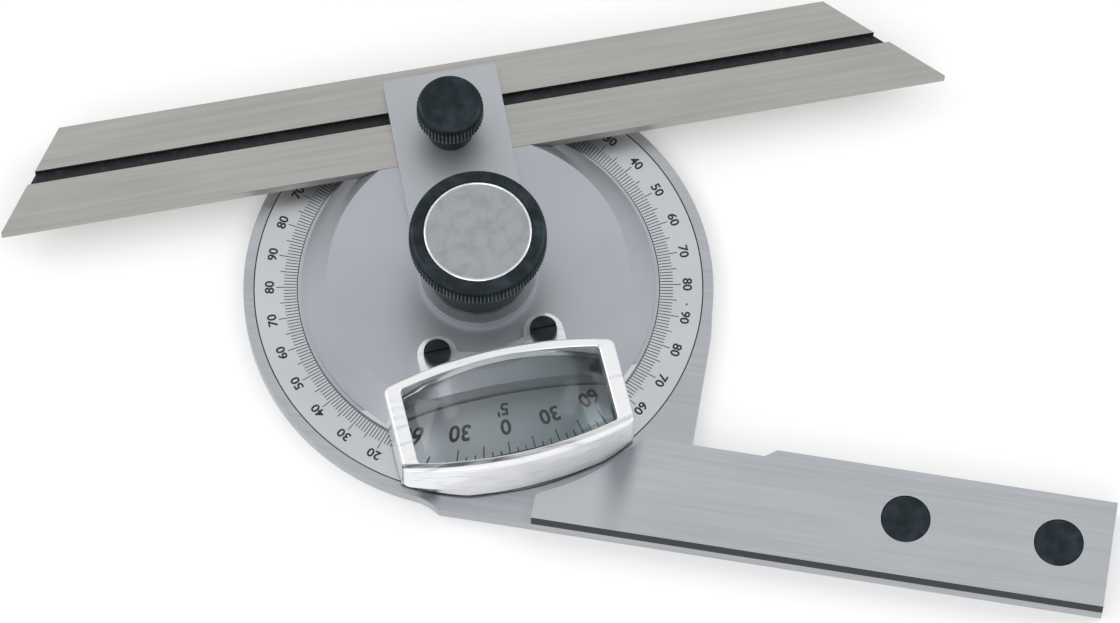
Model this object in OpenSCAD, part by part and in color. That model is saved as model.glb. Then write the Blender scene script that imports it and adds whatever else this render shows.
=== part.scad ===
// Universal bevel protractor.
// A dial body with a fixed stock carries a swivelling turret. The turret holds a sliding
// blade under an arm, and a magnifier over the vernier plate.
// Millimetres. The back of the body lies on the ground plane, the swivel axis is Z, and
// the stock runs along +X with its measuring edge towards -Y.

/* [Dial body] */
// Outer radius of the graduated dial ring
dial_r = 34.95; // [33.5:0.05:37]
// Width of the body's rim round the dial ring
rim_w = 1.65; // [1.2:0.05:3]
// Thickness of the body plate
plate_t = 2.4; // [2.2:0.1:3.6]
// Thickness of the dial ring let into the plate
dial_t = 1.2; // [0.9:0.1:1.5]
// Width of the dial ring, most of it under the turret
dial_w = 13.95; // [12:0.05:15]

/* [Stock] */
// Distance from the swivel axis to the free end of the stock
stock_end = 102.8; // [95:0.1:120]
// Width of the stock
stock_w = 17.3; // [16:0.1:19]
// How far the measuring edge stands below the round rim
stock_drop = 1.4; // [1:0.1:3]
// Thickness of the raised rail on the stock
rail_t = 2.6; // [2:0.1:4]
// Where the raised rail begins
rail_start = 14.6; // [12:0.1:18]
// Depth of the shallow step in the stock's back edge
step_d = 1.3; // [0.6:0.1:2]
// Where that step ends
step_end = 48.3; // [44:0.1:56]
// Radius of the round studs in the stock
stud_r = 3.8; // [3:0.1:4.5]
// Distance between the fixings along the stock
stud_pitch = 23.6; // [20:0.1:25]
// Distance from the free end to the last stud
stud_inset = 8.1; // [6:0.1:12]

/* [Turret] */
// How much of the dial shows outside the turret's thin lip
dial_show = 6.9; // [6:0.05:8]
// Width of the lip outside the bevel
lip_w = 0.55; // [0.4:0.05:1]
// Width of the bevel between lip and flat top
bevel_w = 4.1; // [3:0.1:5]
// Radius of the spigot that turns in the body
spigot_r = 6; // [5.4:0.1:6.6]
// Width of the vernier, from the flat cut over it to the lip
vernier_w = 7.3; // [6:0.05:8]
// Thickness of the vernier plate
vernier_t = 0.8; // [0.7:0.05:1]
// The arm's angle from the stock at rest
arm_angle = 110; // [0:1:359]

/* [Blade] */
// Length of the blade's long edge
blade_len = 150; // [130:1:200]
// Width of the blade
blade_w = 16.3; // [15:0.1:20]
// Thickness of the blade
blade_t = 2; // [1.6:0.1:3]
// Distance from the swivel axis to the blade's inner edge
blade_in = 20.2; // [19.8:0.1:21.5]
// Distance of the blade's middle from the arm at rest
blade_shift = 3.3; // [-20:0.1:20]
// Angle of the blade's left end
blade_left_angle = 54.5; // [45:0.5:75]
// Angle of the blade's right end
blade_right_angle = 45; // [30:0.5:60]
// Width of the guide groove
groove_w = 2; // [1.6:0.1:2.4]
// Depth of the guide groove
groove_d = 1.2; // [0.8:0.1:1.3]
// Distance from the blade's inner edge to the middle of the groove
groove_in = 8.45; // [8.2:0.05:9.5]

/* [Arm] */
// Width of the arm
arm_w = 18; // [16:0.1:18.2]
// Distance from the axis to the arm's square end
arm_len = 34.5; // [32:0.1:36]
// Thickness of the arm
arm_t = 1.5; // [1.3:0.1:2.5]
// Radius of the arm's round end
boss_r = 9.15; // [9.15:0.05:10]

/* [Clamp knob] */
// Height of the swivel clamp knob
knob_h = 13.35; // [12:0.05:18]
// Radius over the knurls of the clamp knob
knob_r = 10.6; // [9.8:0.1:12]
// Radius at the foot of the clamp knob
knob_foot_r = 7.8; // [7.2:0.1:8.6]
// Height of the knurled band
knob_band_h = 3.6; // [2.5:0.1:5]
// Radius of the bright inlay in the knob's top
cap_r = 8.3; // [7:0.1:8.8]
// Radius of the clamp bolt
bolt_r = 4; // [3.5:0.1:4.2]
// Spacing of the knurls on both knobs
knurl_pitch = 0.6; // [0.5:0.05:1.2]

/* [Blade knob] */
// Distance from the blade's inner edge to its clamp screw
screw_in = 4.1; // [3.8:0.05:4.3]
// Height of the blade knob
small_knob_h = 6.7; // [5.5:0.1:9]
// Radius over the knurls of the blade knob
small_knob_r = 5.2; // [4.6:0.1:6]
// Radius of the blade screw
screw_r = 2; // [1.6:0.1:2.1]
// Height of the threaded boss on the arm
collar_h = 2.45; // [1.6:0.05:4]
// Radius of the threaded boss
collar_r = 3.6; // [3.3:0.1:4.2]

/* [Magnifier] */
// Half the length of the magnifier's frame
frame_half = 18.15; // [17.4:0.05:18.6]
// Distance from the swivel axis to the frame's near side
frame_near = 15.25; // [15.2:0.05:15.8]
// How far the frame's far side stays inside the dial's edge
frame_in = 0.2; // [0:0.05:0.6]
// How far the frame's long sides bulge
frame_bulge = 2.6; // [2:0.1:3]
// Height of the frame above the turret
frame_h = 5.65; // [5:0.05:9]
// Half the length of the window
window_half = 15.6; // [14:0.1:16]
// Width of the frame's rim at the ends of its long sides
frame_rim = 0.95; // [0.8:0.05:1.4]
// How far the window's long sides bulge
window_bulge = 1.8; // [1.2:0.1:2.2]
// Radius of the lens's curved face
lens_curve = 36; // [34:0.5:60]
// Turn of the magnifier on its screws
lens_twist = 3; // [0:0.5:3]

/* [Hidden] */
$fn = 96;

// Fits, and the one overrun of every cut
run_fit = 0.05;
seat_fit = 0.01;
play = 0.05;
over = 1;

// Heights of the stack, from the back upwards
blade_over_rail = 0.2;
rail_top = plate_t + rail_t;
blade_z = rail_top + blade_over_rail;
blade_top = blade_z + blade_t;
seat_z = blade_z - play;
turret_z = plate_t + play;
turret_top = blade_top + play;
arm_top = turret_top + arm_t;

// Body plate
ring_r = dial_r + rim_w;
dial_inner_r = dial_r - dial_w;
turret_r = dial_r - dial_show;
vernier_chord = turret_r - vernier_w;
stock_front = ring_r + stock_drop;
stock_back = stock_front - stock_w;
step_back = stock_back + step_d;
step_run = 1.8;
side_out = 0.4;
side_run = 2;
side_angle = 10;
heel_angle = 264.5;
heel_x = 0.26;
heel_bend_x = 1.5;
heel_bend_y = 1.15;
heel_steps = 6;
blend_sink = 0.05;
stud_mid = 9.3;
stud_y = stud_mid - stock_front;

// Hub bush and clamp bolt
bush_wall = 2;
bush_r = spigot_r + run_fit + bush_wall;
head_rim = 1.95;
head_r = bush_r + head_rim;
head_t = 1.05;
head_gap = 0.3;
head_bevel = 0.2;
recess_d = head_t + play;
spigot_z = recess_d + play;
bolt_engage = 10.6;
bolt_bevel = 0.5;
bolt_hole_r = bolt_r + run_fit;
spanner_r = 0.9;
spanner_d = 0.6;
spanner_at = 6.2;

// Stock rail and its studs
rail_gap = 0.3;
rail_arc_r = ring_r + rail_gap;
rail_corner_r = 1.3;
rail_steps = 24;
corner_steps = 6;
stud_shank_r = 2.5;
stud_head_t = 1.6;
stud_pip_r = 0.5;
stud_pip_d = 0.25;
stud_x = stock_end - stud_inset;
stud_places = [[stud_x, stud_y], [stud_x - stud_pitch, stud_y]];

// Flat-headed screws, let in below the face they enter
head_sink = 0.05;
drill_gap = 0.1;
slot_w = 0.4;
slot_d = 0.3;
tiny_r = 0.8;
tiny_head_r = 1.4;
small_r = 1.25;
small_head_r = 2.2;
rail_screw_inset = 9.3;
rail_screw_edge = 4.6;
rail_screw_cover = 0.9;
rail_screw_places = [[stud_x - 2 * stud_pitch, stud_y],
                     [rail_start + rail_screw_inset, rail_screw_edge - stock_front]];
dial_screw_count = 4;
dial_screw_in = 3.95;
dial_screw_turn = 45;
dial_screw_cover = 0.3;
dial_screw_at = dial_r - dial_screw_in;
vernier_screw_len = 2.6;
vernier_screw_side = 12;
vernier_screw_back = 1.5;
vernier_screw_at = vernier_chord - vernier_screw_back;
arm_screw_cover = 0.55;
arm_screw_at = 15;
arm_screw_side = 5.5;

// Dial ring
line_w = 0.12;
dial_seat_z = plate_t - dial_t;

// Turret and vernier plate
lip_t = 0.35;
bevel_step = 0.35;
lip_top = turret_z + lip_t;
bevel_z = lip_top + bevel_step;
bevel_r = turret_r - lip_w;
plateau_r = bevel_r - bevel_w;
tongue = 3;
vernier_in = vernier_chord - tongue;
vernier_edge_w = 1.3;
vernier_edge_t = 0.3;
vernier_top = turret_z + vernier_t;

// Blade, and what guides and holds it
key_side_gap = 0.05;
key_bottom_gap = 0.15;
key_root = 0.6;
key_len = 16;
key_w = groove_w - 2 * key_side_gap;
groove_z = blade_top - groove_d;
groove_at = blade_in + groove_in;
screw_at = blade_in + screw_in;
arm_corner_r = 0.6;
collar_wall = 0.95;
collar_spigot_r = screw_r + run_fit + collar_wall;
collar_top = arm_top + collar_h;
collar_bevel = 0.3;
pad_t = 0.95;
pad_gap = 0.1;

// Both knobs
knurl_d = 0.22;
knob_crown = 0.27;
knob_bevel = 0.35;
knob_throat_h = 0.4;

// Clamp knob
washer_t = 0.7;
washer_rim = 0.05;
washer_bore_r = bolt_r + 2 * run_fit;
washer_z = arm_top + play;
knob_z = washer_z + washer_t + play;
knob_top = knob_z + knob_h;
knob_neck = 0.7;
knob_bevel_h = 0.6;
insert_wall = 2;
insert_r = bolt_hole_r + insert_wall;
insert_top = knob_z + bolt_engage + play;
cap_t = 0.8;
cap_rim_w = 0.35;
cap_rim_h = 0.12;

// Blade knob
small_knob_gap = 0.3;
small_knob_z = collar_top + small_knob_gap;
small_knob_top = small_knob_z + small_knob_h;
small_foot_r = collar_r + small_knob_gap;
small_band_h = 4;
small_neck = 0.6;
small_bevel_h = 0.5;
small_dish_r = 3.4;
small_dish_d = 0.25;
screw_engage = 5;
screw_bottom = turret_top + pad_t + play;
screw_top = small_knob_z + screw_engage;

// Magnifier
twist_at = 20;
frame_at = (frame_near + dial_r - frame_in) / 2;
frame_end_half = (dial_r - frame_in - frame_near) / 2 - frame_bulge;
window_end_half = frame_end_half - frame_rim;
frame_lift = 0.6;
frame_z = plate_t + frame_lift;
frame_top = turret_top + frame_h;
frame_corner_r = 1.4;
frame_clear = 0.42;
sweep_out = 0.5;
sweep_over = 0.4;
sweep_flare = 4;
barrel_steps = 10;
window_shift = 0.2;
window_at = frame_at - window_shift;
window_corner_r = 0.7;
lens_ledge = 0.7;
lens_seat_h = 1.15;
lens_seat_z = turret_top + lens_seat_h;
lens_rise = 0.9;
lens_top = frame_top + lens_rise;
ear_at = 12.6;
ear_side = 8.4;
ear_r = 3.1;
ear_t = 1.6;
ear_steps = 12;
web_r = 13.8;
ear_top = turret_top + ear_t;
lens_screw_head_r = 2.1;
lens_screw_head_h = 1.3;
lens_screw_slot_w = 0.5;
lens_screw_slot_d = 0.5;
lens_screw_len = 4.4;

// Points on a circle, and along a quadratic curve
function on_circle(mid, r, a) = [mid[0] + r * cos(a), mid[1] + r * sin(a)];
function bend(p, q, s, k) = p * (1 - k) * (1 - k) + q * 2 * k * (1 - k) + s * k * k;

// A quarter of the magnifier's barrel outline: a bulging long side and a rounded corner
function barrel_quarter(half, end_half, bulge, corner) =
    let (turn = atan(2 * bulge / half),
         last = half - corner * (1 - sin(turn)),
         mid = [end_half + corner * (tan(turn) - 1 / cos(turn)), half - corner])
    concat([for (k = [0:barrel_steps - 1])
               let (y = last * k / barrel_steps)
               [end_half + bulge * (1 - y * y / (half * half)), y]],
           [for (k = [0:corner_steps])
               on_circle(mid, corner, turn + (90 - turn) * k / corner_steps)]);

module barrel(at, half, end_half, bulge, corner) {
    q = barrel_quarter(half, end_half, bulge, corner);
    n = len(q) - 1;
    translate([at, 0]) polygon(concat(
        [for (k = [0:n]) [q[k][0], q[k][1]]],
        [for (k = [n:-1:1]) [-q[k][0], q[k][1]]],
        [for (k = [0:n]) [-q[k][0], -q[k][1]]],
        [for (k = [n:-1:1]) [q[k][0], -q[k][1]]]));
}

// The arm's own frame has X out along the arm, and the magnifier's lies opposite to it
module at_arm() {
    rotate([0, 0, arm_angle]) children();
}

module at_vernier() {
    rotate([0, 0, arm_angle + 180]) children();
}

module at_magnifier() {
    at_vernier() translate([twist_at, 0, 0]) rotate([0, 0, lens_twist])
        translate([-twist_at, 0, 0]) children();
}

// A flat-headed screw standing on its head, and the hole that it fits
module flat_screw(r, flat_r, top) {
    difference() {
        rotate_extrude()
            polygon([[0, head_sink], [flat_r - head_sink, head_sink], [r, flat_r - r], [r, top], [0, top]]);
        translate([-slot_w / 2, -flat_r, head_sink - over])
            cube([slot_w, 2 * flat_r, slot_d + over]);
    }
}

module flat_screw_hole(r, flat_r, top) {
    bore = r + seat_fit;
    end = top + drill_gap;
    rotate_extrude()
        polygon([[0, -over], [flat_r + seat_fit + over, -over], [bore, flat_r - r], [bore, end], [0, end]]);
}

// Where the small screws stand
module at_dial_screws() {
    for (k = [0:dial_screw_count - 1])
        rotate([0, 0, dial_screw_turn + 360 * k / dial_screw_count])
            translate([dial_screw_at, 0, 0]) children();
}

module at_rail_screws() {
    for (p = rail_screw_places) translate([p[0], p[1], 0]) children();
}

module at_studs() {
    for (p = stud_places) translate([p[0], p[1], 0]) children();
}

module at_vernier_screws() {
    at_vernier() for (side = [-1, 1])
        translate([vernier_screw_at, side * vernier_screw_side, turret_z]) children();
}

module at_arm_screws() {
    at_arm() for (side = [-1, 1])
        translate([arm_screw_at, side * arm_screw_side, turret_z]) children();
}

module at_lens_screws() {
    at_magnifier() for (side = [-1, 1]) translate([ear_at, side * ear_side, 0]) children();
}

// The stock's outline below the round dial body, with its shallow step and curved heel
module stock_outline() {
    sunk_r = ring_r - blend_sink;
    side_x = ring_r + side_out;
    heel = [heel_x, -stock_front];
    heel_turn = [heel_x - heel_bend_x, heel_bend_y - stock_front];
    heel_end = on_circle([0, 0], sunk_r, heel_angle);
    polygon(concat(
        [[0, 0], on_circle([0, 0], sunk_r, side_angle), [side_x, -side_run], [side_x, -step_back]],
        stock_far_points(),
        [for (k = [0:heel_steps]) bend(heel, heel_turn, heel_end, k / heel_steps)]));
}

function stock_far_points() =
    [[step_end, -step_back], [step_end + step_run, -stock_back],
     [stock_end, -stock_back], [stock_end, -stock_front]];

module body_plate() {
    color("#b9bdbf") difference() {
        union() {
            cylinder(r = ring_r, h = plate_t);
            linear_extrude(plate_t) stock_outline();
        }
        translate([0, 0, dial_seat_z]) difference() {
            cylinder(r = dial_r + seat_fit, h = dial_t + over);
            translate([0, 0, -over]) cylinder(r = dial_inner_r - seat_fit, h = dial_t + 3 * over);
        }
        translate([0, 0, -over]) cylinder(r = head_r + head_gap, h = recess_d + over);
        cylinder(r = bush_r + seat_fit, h = plate_t + over);
        at_dial_screws() flat_screw_hole(tiny_r, tiny_head_r, plate_t);
        at_rail_screws() flat_screw_hole(small_r, small_head_r, plate_t + over);
        at_studs() translate([0, 0, -over]) cylinder(r = stud_shank_r + seat_fit, h = plate_t + 2 * over);
    }
}

// The raised rail ends in a hollow arc round the dial body, with one rounded corner
module rail_outline() {
    corner_x = rail_start + rail_corner_r;
    corner_at = rail_arc_r + rail_corner_r;
    corner_y = -sqrt(corner_at * corner_at - corner_x * corner_x);
    arc_from = atan2(corner_y, corner_x);
    arc_to = asin(-step_back / rail_arc_r);
    polygon(concat(
        [[rail_start, -stock_front]],
        [for (k = [0:corner_steps - 1])
            on_circle([corner_x, corner_y], rail_corner_r, 180 + arc_from * k / corner_steps)],
        [for (k = [0:rail_steps])
            on_circle([0, 0], rail_arc_r, arc_from + (arc_to - arc_from) * k / rail_steps)],
        stock_far_points()));
}

module stock_rail() {
    color("#c3c7c9") difference() {
        translate([0, 0, plate_t]) linear_extrude(rail_t) rail_outline();
        at_studs() {
            cylinder(r = stud_shank_r + seat_fit, h = rail_top + over);
            translate([0, 0, rail_top - stud_head_t])
                cylinder(r = stud_r + seat_fit, h = stud_head_t + over);
        }
        at_rail_screws() flat_screw_hole(small_r, small_head_r, rail_top - rail_screw_cover);
    }
}

module stock_studs() {
    color("#23292c") at_studs() rotate_extrude()
        polygon([[0, head_sink], [stud_shank_r, head_sink], [stud_shank_r, rail_top - stud_head_t],
                 [stud_r, rail_top - stud_head_t], [stud_r, rail_top],
                 [stud_pip_r, rail_top], [0, rail_top - stud_pip_d]]);
}

module rail_screws() {
    color("#5c6164") at_rail_screws() flat_screw(small_r, small_head_r, rail_top - rail_screw_cover);
}

module dial_ring() {
    color("#c9d0d6") difference() {
        rotate_extrude()
            polygon([[dial_inner_r, dial_seat_z], [dial_r, dial_seat_z], [dial_r, plate_t - line_w],
                     [dial_r - line_w, plate_t], [dial_inner_r, plate_t]]);
        at_dial_screws() flat_screw_hole(tiny_r, tiny_head_r, plate_t - dial_screw_cover);
    }
}

module dial_screws() {
    color("#5c6164") at_dial_screws() flat_screw(tiny_r, tiny_head_r, plate_t - dial_screw_cover);
}

module hub_bush() {
    color("#b08d4a") rotate_extrude() translate([spigot_r + run_fit, recess_d])
        square([bush_wall, plate_t - recess_d]);
}

// The turret: a spigot below, and a thin lip and a bevel round its flat top. The blade's
// seat crosses one side, and the other is cut off straight over the vernier.
module turret_disc() {
    span = turret_r + over;
    color("#b4b9bd") difference() {
        rotate_extrude()
            polygon([[bolt_hole_r, spigot_z], [spigot_r, spigot_z], [spigot_r, turret_z],
                     [turret_r, turret_z], [turret_r, lip_top], [bevel_r, lip_top],
                     [bevel_r, bevel_z], [plateau_r, turret_top], [bolt_hole_r, turret_top]]);
        at_arm() translate([blade_in - play, -span, seat_z])
            cube([span, 2 * span, turret_top - seat_z + over]);
        at_vernier() translate([vernier_chord, -span, spigot_z])
            cube([span, 2 * span, turret_top - spigot_z + over]);
        at_vernier() translate([vernier_in - seat_fit, -span, turret_z - over])
            cube([span, 2 * span, vernier_t + over]);
        at_vernier_screws() flat_screw_hole(tiny_r, tiny_head_r, vernier_screw_len);
        at_arm_screws() flat_screw_hole(small_r, small_head_r, arm_top - turret_z);
        at_lens_screws() translate([0, 0, ear_top - lens_screw_len - drill_gap])
            cylinder(r = small_r + seat_fit, h = lens_screw_len);
    }
}

module vernier_plate() {
    span = turret_r + over;
    color("#ccd3d8") difference() {
        intersection() {
            rotate_extrude()
                polygon([[0, turret_z], [turret_r, turret_z], [turret_r, vernier_top - vernier_edge_t],
                         [turret_r - vernier_edge_w, vernier_top], [0, vernier_top]]);
            at_vernier() translate([vernier_in, -span, turret_z - over])
                cube([span, 2 * span, vernier_t + 2 * over]);
        }
        at_vernier_screws() flat_screw_hole(tiny_r, tiny_head_r, vernier_screw_len);
    }
}

module vernier_screws() {
    color("#5c6164") at_vernier_screws() flat_screw(tiny_r, tiny_head_r, vernier_screw_len);
}

// The arm's outline: round about the bolt, square with eased corners at its far end
module arm_outline() {
    side = arm_w / 2;
    mid = [arm_len - arm_corner_r, side - arm_corner_r];
    corner = [for (k = [0:corner_steps]) on_circle(mid, arm_corner_r, 90 * k / corner_steps)];
    circle(r = boss_r);
    polygon(concat(
        [[0, -side]],
        [for (k = [corner_steps:-1:0]) [corner[k][0], -corner[k][1]]],
        corner,
        [[0, side]]));
}

module blade_arm() {
    color("#b4b9bd") difference() {
        at_arm() translate([0, 0, turret_top]) linear_extrude(arm_t) arm_outline();
        translate([0, 0, turret_top - over]) cylinder(r = bolt_hole_r, h = arm_t + 2 * over);
        at_arm() translate([screw_at, 0, turret_top - over])
            cylinder(r = collar_spigot_r + seat_fit, h = arm_t + 2 * over);
        at_arm() translate([groove_at - key_w / 2 - seat_fit, -key_len / 2 - seat_fit, turret_top - over])
            cube([key_w + 2 * seat_fit, key_len + 2 * seat_fit, key_root + over]);
        at_arm_screws() flat_screw_hole(small_r, small_head_r, arm_top - arm_screw_cover - turret_z);
    }
}

module arm_screws() {
    color("#5c6164") at_arm_screws() flat_screw(small_r, small_head_r, arm_top - arm_screw_cover - turret_z);
}

module guide_key() {
    key_z = groove_z + key_bottom_gap;
    color("#8d9396") at_arm() translate([groove_at - key_w / 2, -key_len / 2, key_z])
        cube([key_w, key_len, turret_top + key_root - key_z]);
}

module thread_boss() {
    color("#23292c") at_arm() translate([screw_at, 0, 0]) rotate_extrude()
        polygon([[screw_r + run_fit, turret_top], [collar_spigot_r, turret_top],
                 [collar_spigot_r, arm_top], [collar_r, arm_top], [collar_r, collar_top - collar_bevel],
                 [collar_r - collar_bevel, collar_top], [screw_r + run_fit, collar_top]]);
}

module clamp_bolt() {
    bolt_top = knob_z + bolt_engage;
    color("#8d9396") difference() {
        rotate_extrude()
            polygon([[0, 0], [head_r - head_bevel, 0], [head_r, head_bevel], [head_r, head_t],
                     [bolt_r, head_t], [bolt_r, bolt_top - bolt_bevel], [bolt_r - bolt_bevel, bolt_top],
                     [0, bolt_top]]);
        for (side = [-1, 1]) translate([side * spanner_at, 0, -over])
            cylinder(r = spanner_r, h = spanner_d + over);
    }
}

// What the turret needs clear of the magnifier, and what the magnifier may sweep over
module turret_room() {
    low = frame_z - over;
    low_r = bevel_r + frame_clear + (bevel_z - low) * bevel_w / (turret_top - bevel_z);
    rotate_extrude()
        polygon([[0, low], [low_r, low], [plateau_r + frame_clear, turret_top], [0, turret_top]]);
}

module magnifier_sweep() {
    low_r = dial_r + sweep_out;
    bend_z = rail_top + sweep_over;
    rotate_extrude()
        polygon([[0, frame_z - over], [low_r, frame_z - over], [low_r, bend_z],
                 [low_r + sweep_flare, bend_z + sweep_flare], [low_r + sweep_flare, frame_top + over],
                 [0, frame_top + over]]);
}

// Two ears for the screws, joined by a web with a hollow back edge
module ear_outline() {
    inner = ear_side - ear_r;
    web_turn = asin(inner / web_r);
    polygon(concat(
        [[frame_at, -ear_side - ear_r]],
        [for (k = [0:ear_steps]) on_circle([ear_at, -ear_side], ear_r, 270 - 180 * k / ear_steps)],
        [for (k = [0:ear_steps]) on_circle([0, 0], web_r, web_turn * (2 * k / ear_steps - 1))],
        [for (k = [0:ear_steps]) on_circle([ear_at, ear_side], ear_r, 270 - 180 * k / ear_steps)],
        [[frame_at, ear_side + ear_r]]));
}

module lens_frame() {
    color("#e4e7e9") difference() {
        union() {
            intersection() {
                at_magnifier() translate([0, 0, frame_z]) linear_extrude(frame_top - frame_z)
                    barrel(frame_at, frame_half, frame_end_half, frame_bulge, frame_corner_r);
                magnifier_sweep();
            }
            at_magnifier() translate([0, 0, turret_top]) linear_extrude(ear_t) ear_outline();
        }
        turret_room();
        at_magnifier() translate([0, 0, lens_seat_z]) linear_extrude(frame_top - lens_seat_z + over)
            barrel(window_at, window_half, window_end_half, window_bulge, window_corner_r);
        at_magnifier() translate([0, 0, frame_z - over]) linear_extrude(frame_top - frame_z)
            barrel(window_at, window_half - lens_ledge, window_end_half - lens_ledge, window_bulge,
                   window_corner_r);
        at_lens_screws() translate([0, 0, turret_top - over])
            cylinder(r = small_r + seat_fit, h = ear_t + 2 * over);
    }
}

module lens_screws() {
    color("#23292c") at_lens_screws() difference() {
        union() {
            translate([0, 0, ear_top]) cylinder(r = lens_screw_head_r, h = lens_screw_head_h);
            translate([0, 0, ear_top - lens_screw_len]) cylinder(r = small_r, h = lens_screw_len + over / 2);
        }
        translate([-lens_screw_slot_w / 2, -lens_screw_head_r - over,
                   ear_top + lens_screw_head_h - lens_screw_slot_d])
            cube([lens_screw_slot_w, 2 * (lens_screw_head_r + over), lens_screw_slot_d + over]);
    }
}

// Flat below and domed above
module lens() {
    color("#dfeeee", 0.5) at_magnifier() intersection() {
        translate([0, 0, lens_seat_z]) linear_extrude(lens_top - lens_seat_z)
            barrel(window_at, window_half - seat_fit, window_end_half - seat_fit, window_bulge,
                   window_corner_r);
        translate([window_at, 0, lens_top - lens_curve]) sphere(r = lens_curve);
    }
}

module thrust_washer() {
    color("#6d7376") rotate_extrude() translate([washer_bore_r, washer_z])
        square([knob_foot_r - washer_rim - washer_bore_r, washer_t]);
}

// Straight knurls round a knob: one ridge for each pitch of its girth
module knurl(r) {
    teeth = round(2 * PI * r / knurl_pitch);
    polygon([for (k = [0:2 * teeth - 1]) on_circle([0, 0], r - (k % 2) * knurl_d, 180 * k / teeth)]);
}

// A turned knob: a cone up to a knurled band, and a bevelled crown
module turned_knob(foot_r, r, low, top, neck, band_h, bevel_h) {
    band_z = top - band_h;
    crown_r = r - knob_crown;
    rotate_extrude()
        polygon([[0, low], [foot_r, low], [r - neck, band_z], [crown_r, band_z + knob_throat_h],
                 [crown_r, top - bevel_h], [r - knob_bevel, top], [0, top]]);
    translate([0, 0, band_z]) linear_extrude(band_h - bevel_h) knurl(r);
}

module clamp_knob() {
    color("#23292c") difference() {
        turned_knob(knob_foot_r, knob_r, knob_z, knob_top, knob_neck, knob_band_h, knob_bevel_h);
        translate([0, 0, knob_z - over]) cylinder(r = insert_r + seat_fit, h = insert_top - knob_z + over);
        translate([0, 0, knob_top - cap_t]) cylinder(r = cap_r + seat_fit, h = cap_t + over);
    }
}

module knob_insert() {
    color("#b08d4a") rotate_extrude() translate([bolt_hole_r, knob_z])
        square([insert_wall, insert_top - knob_z]);
}

module knob_cap() {
    color("#d5d6d6") rotate_extrude()
        polygon([[0, knob_top - cap_t], [cap_r, knob_top - cap_t], [cap_r, knob_top - cap_rim_h],
                 [cap_r - cap_rim_w, knob_top], [0, knob_top]]);
}

// The blade: its long edge lies along the turret, and both ends slant
module blade() {
    left = blade_len / 2 - blade_shift;
    right = blade_len / 2 + blade_shift;
    far = blade_in + blade_w;
    color("#c4c2bb") at_arm() difference() {
        translate([0, 0, blade_z]) linear_extrude(blade_t)
            polygon([[blade_in, -right], [blade_in, left],
                     [far, left - blade_w / tan(blade_left_angle)],
                     [far, blade_w / tan(blade_right_angle) - right]]);
        translate([groove_at - groove_w / 2, -right - over, groove_z])
            cube([groove_w, blade_len + 2 * over, groove_d + over]);
    }
}

module pressure_pad() {
    color("#b08d4a") at_arm() translate([screw_at, 0, turret_top])
        cylinder(r = screw_r + run_fit - pad_gap, h = pad_t);
}

module blade_knob() {
    color("#23292c") at_arm() translate([screw_at, 0, 0]) difference() {
        turned_knob(small_foot_r, small_knob_r, small_knob_z, small_knob_top, small_neck, small_band_h,
                    small_bevel_h);
        translate([0, 0, small_knob_z - over]) cylinder(r = screw_r + seat_fit, h = screw_engage + over);
        translate([0, 0, small_knob_top - small_dish_d]) cylinder(r = small_dish_r, h = small_dish_d + over);
    }
}

module blade_screw() {
    color("#3b4144") at_arm() translate([screw_at, 0, screw_bottom])
        cylinder(r = screw_r, h = screw_top - screw_bottom);
}

body_plate();
stock_rail();
stock_studs();
rail_screws();
dial_ring();
dial_screws();
hub_bush();
turret_disc();
vernier_plate();
vernier_screws();
blade_arm();
arm_screws();
guide_key();
thread_boss();
clamp_bolt();
lens_frame();
lens_screws();
lens();
thrust_washer();
clamp_knob();
knob_insert();
knob_cap();
blade();
pressure_pad();
blade_knob();
blade_screw();
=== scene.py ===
"""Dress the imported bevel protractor: its steels, divisions, knobs, magnifier and studio.

Sizes in the classes are millimetres and degrees. A finished piece is in metres and stands
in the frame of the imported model: the swivel axis is Z, the back lies on Z = 0, and the
stock runs along +X with its measuring edge towards -Y.
"""

from __future__ import annotations

import logging
import math
from collections.abc import Callable, Iterable, Sequence
from dataclasses import dataclass
from enum import Enum
from functools import reduce
from typing import Any

import bmesh
import bpy
from mathutils import Color, Matrix, Vector


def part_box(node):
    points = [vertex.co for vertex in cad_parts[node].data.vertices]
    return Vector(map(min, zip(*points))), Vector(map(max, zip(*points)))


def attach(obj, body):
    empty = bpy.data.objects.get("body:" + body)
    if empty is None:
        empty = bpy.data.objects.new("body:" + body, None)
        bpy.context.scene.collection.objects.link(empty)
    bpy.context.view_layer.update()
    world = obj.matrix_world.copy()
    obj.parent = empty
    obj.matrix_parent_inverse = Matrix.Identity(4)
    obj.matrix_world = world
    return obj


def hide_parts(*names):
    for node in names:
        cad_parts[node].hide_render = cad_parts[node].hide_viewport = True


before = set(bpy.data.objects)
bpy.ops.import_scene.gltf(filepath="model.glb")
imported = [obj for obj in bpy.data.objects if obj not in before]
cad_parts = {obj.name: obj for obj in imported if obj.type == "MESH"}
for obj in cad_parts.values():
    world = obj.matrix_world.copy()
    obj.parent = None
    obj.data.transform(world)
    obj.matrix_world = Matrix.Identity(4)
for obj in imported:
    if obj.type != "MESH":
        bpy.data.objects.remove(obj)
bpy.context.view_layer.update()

MM = 0.001
LOG = logging.getLogger("protractor")
Point = tuple[float, float]
Pair = tuple[float, float]
Triple = tuple[float, float, float]
Colour = tuple[float, float, float, float]
WHITE: Colour = (1.0, 1.0, 1.0, 1.0)

NOISE_MEAN = 0.5  # the mean of a noise, and of a tone that noises swing
WELD_GAP = 1e-4  # millimetres under which two corners are one
FLAT_ANGLE = 0.3  # degrees under which two facets are one face
MOST_SAGITTA = 0.05  # millimetres by which a facet may cut inside the circle that it stands for
LEAST_LEAN = 0.05  # the level part of a normal under which a face counts as level


class Body(str, Enum):
    """The bodies that pieces ride on."""

    STOCK = "stock"
    TURRET = "turret"
    CLAMP = "clamp"
    BLADE = "blade"
    BLADE_CLAMP = "blade_clamp"


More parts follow.
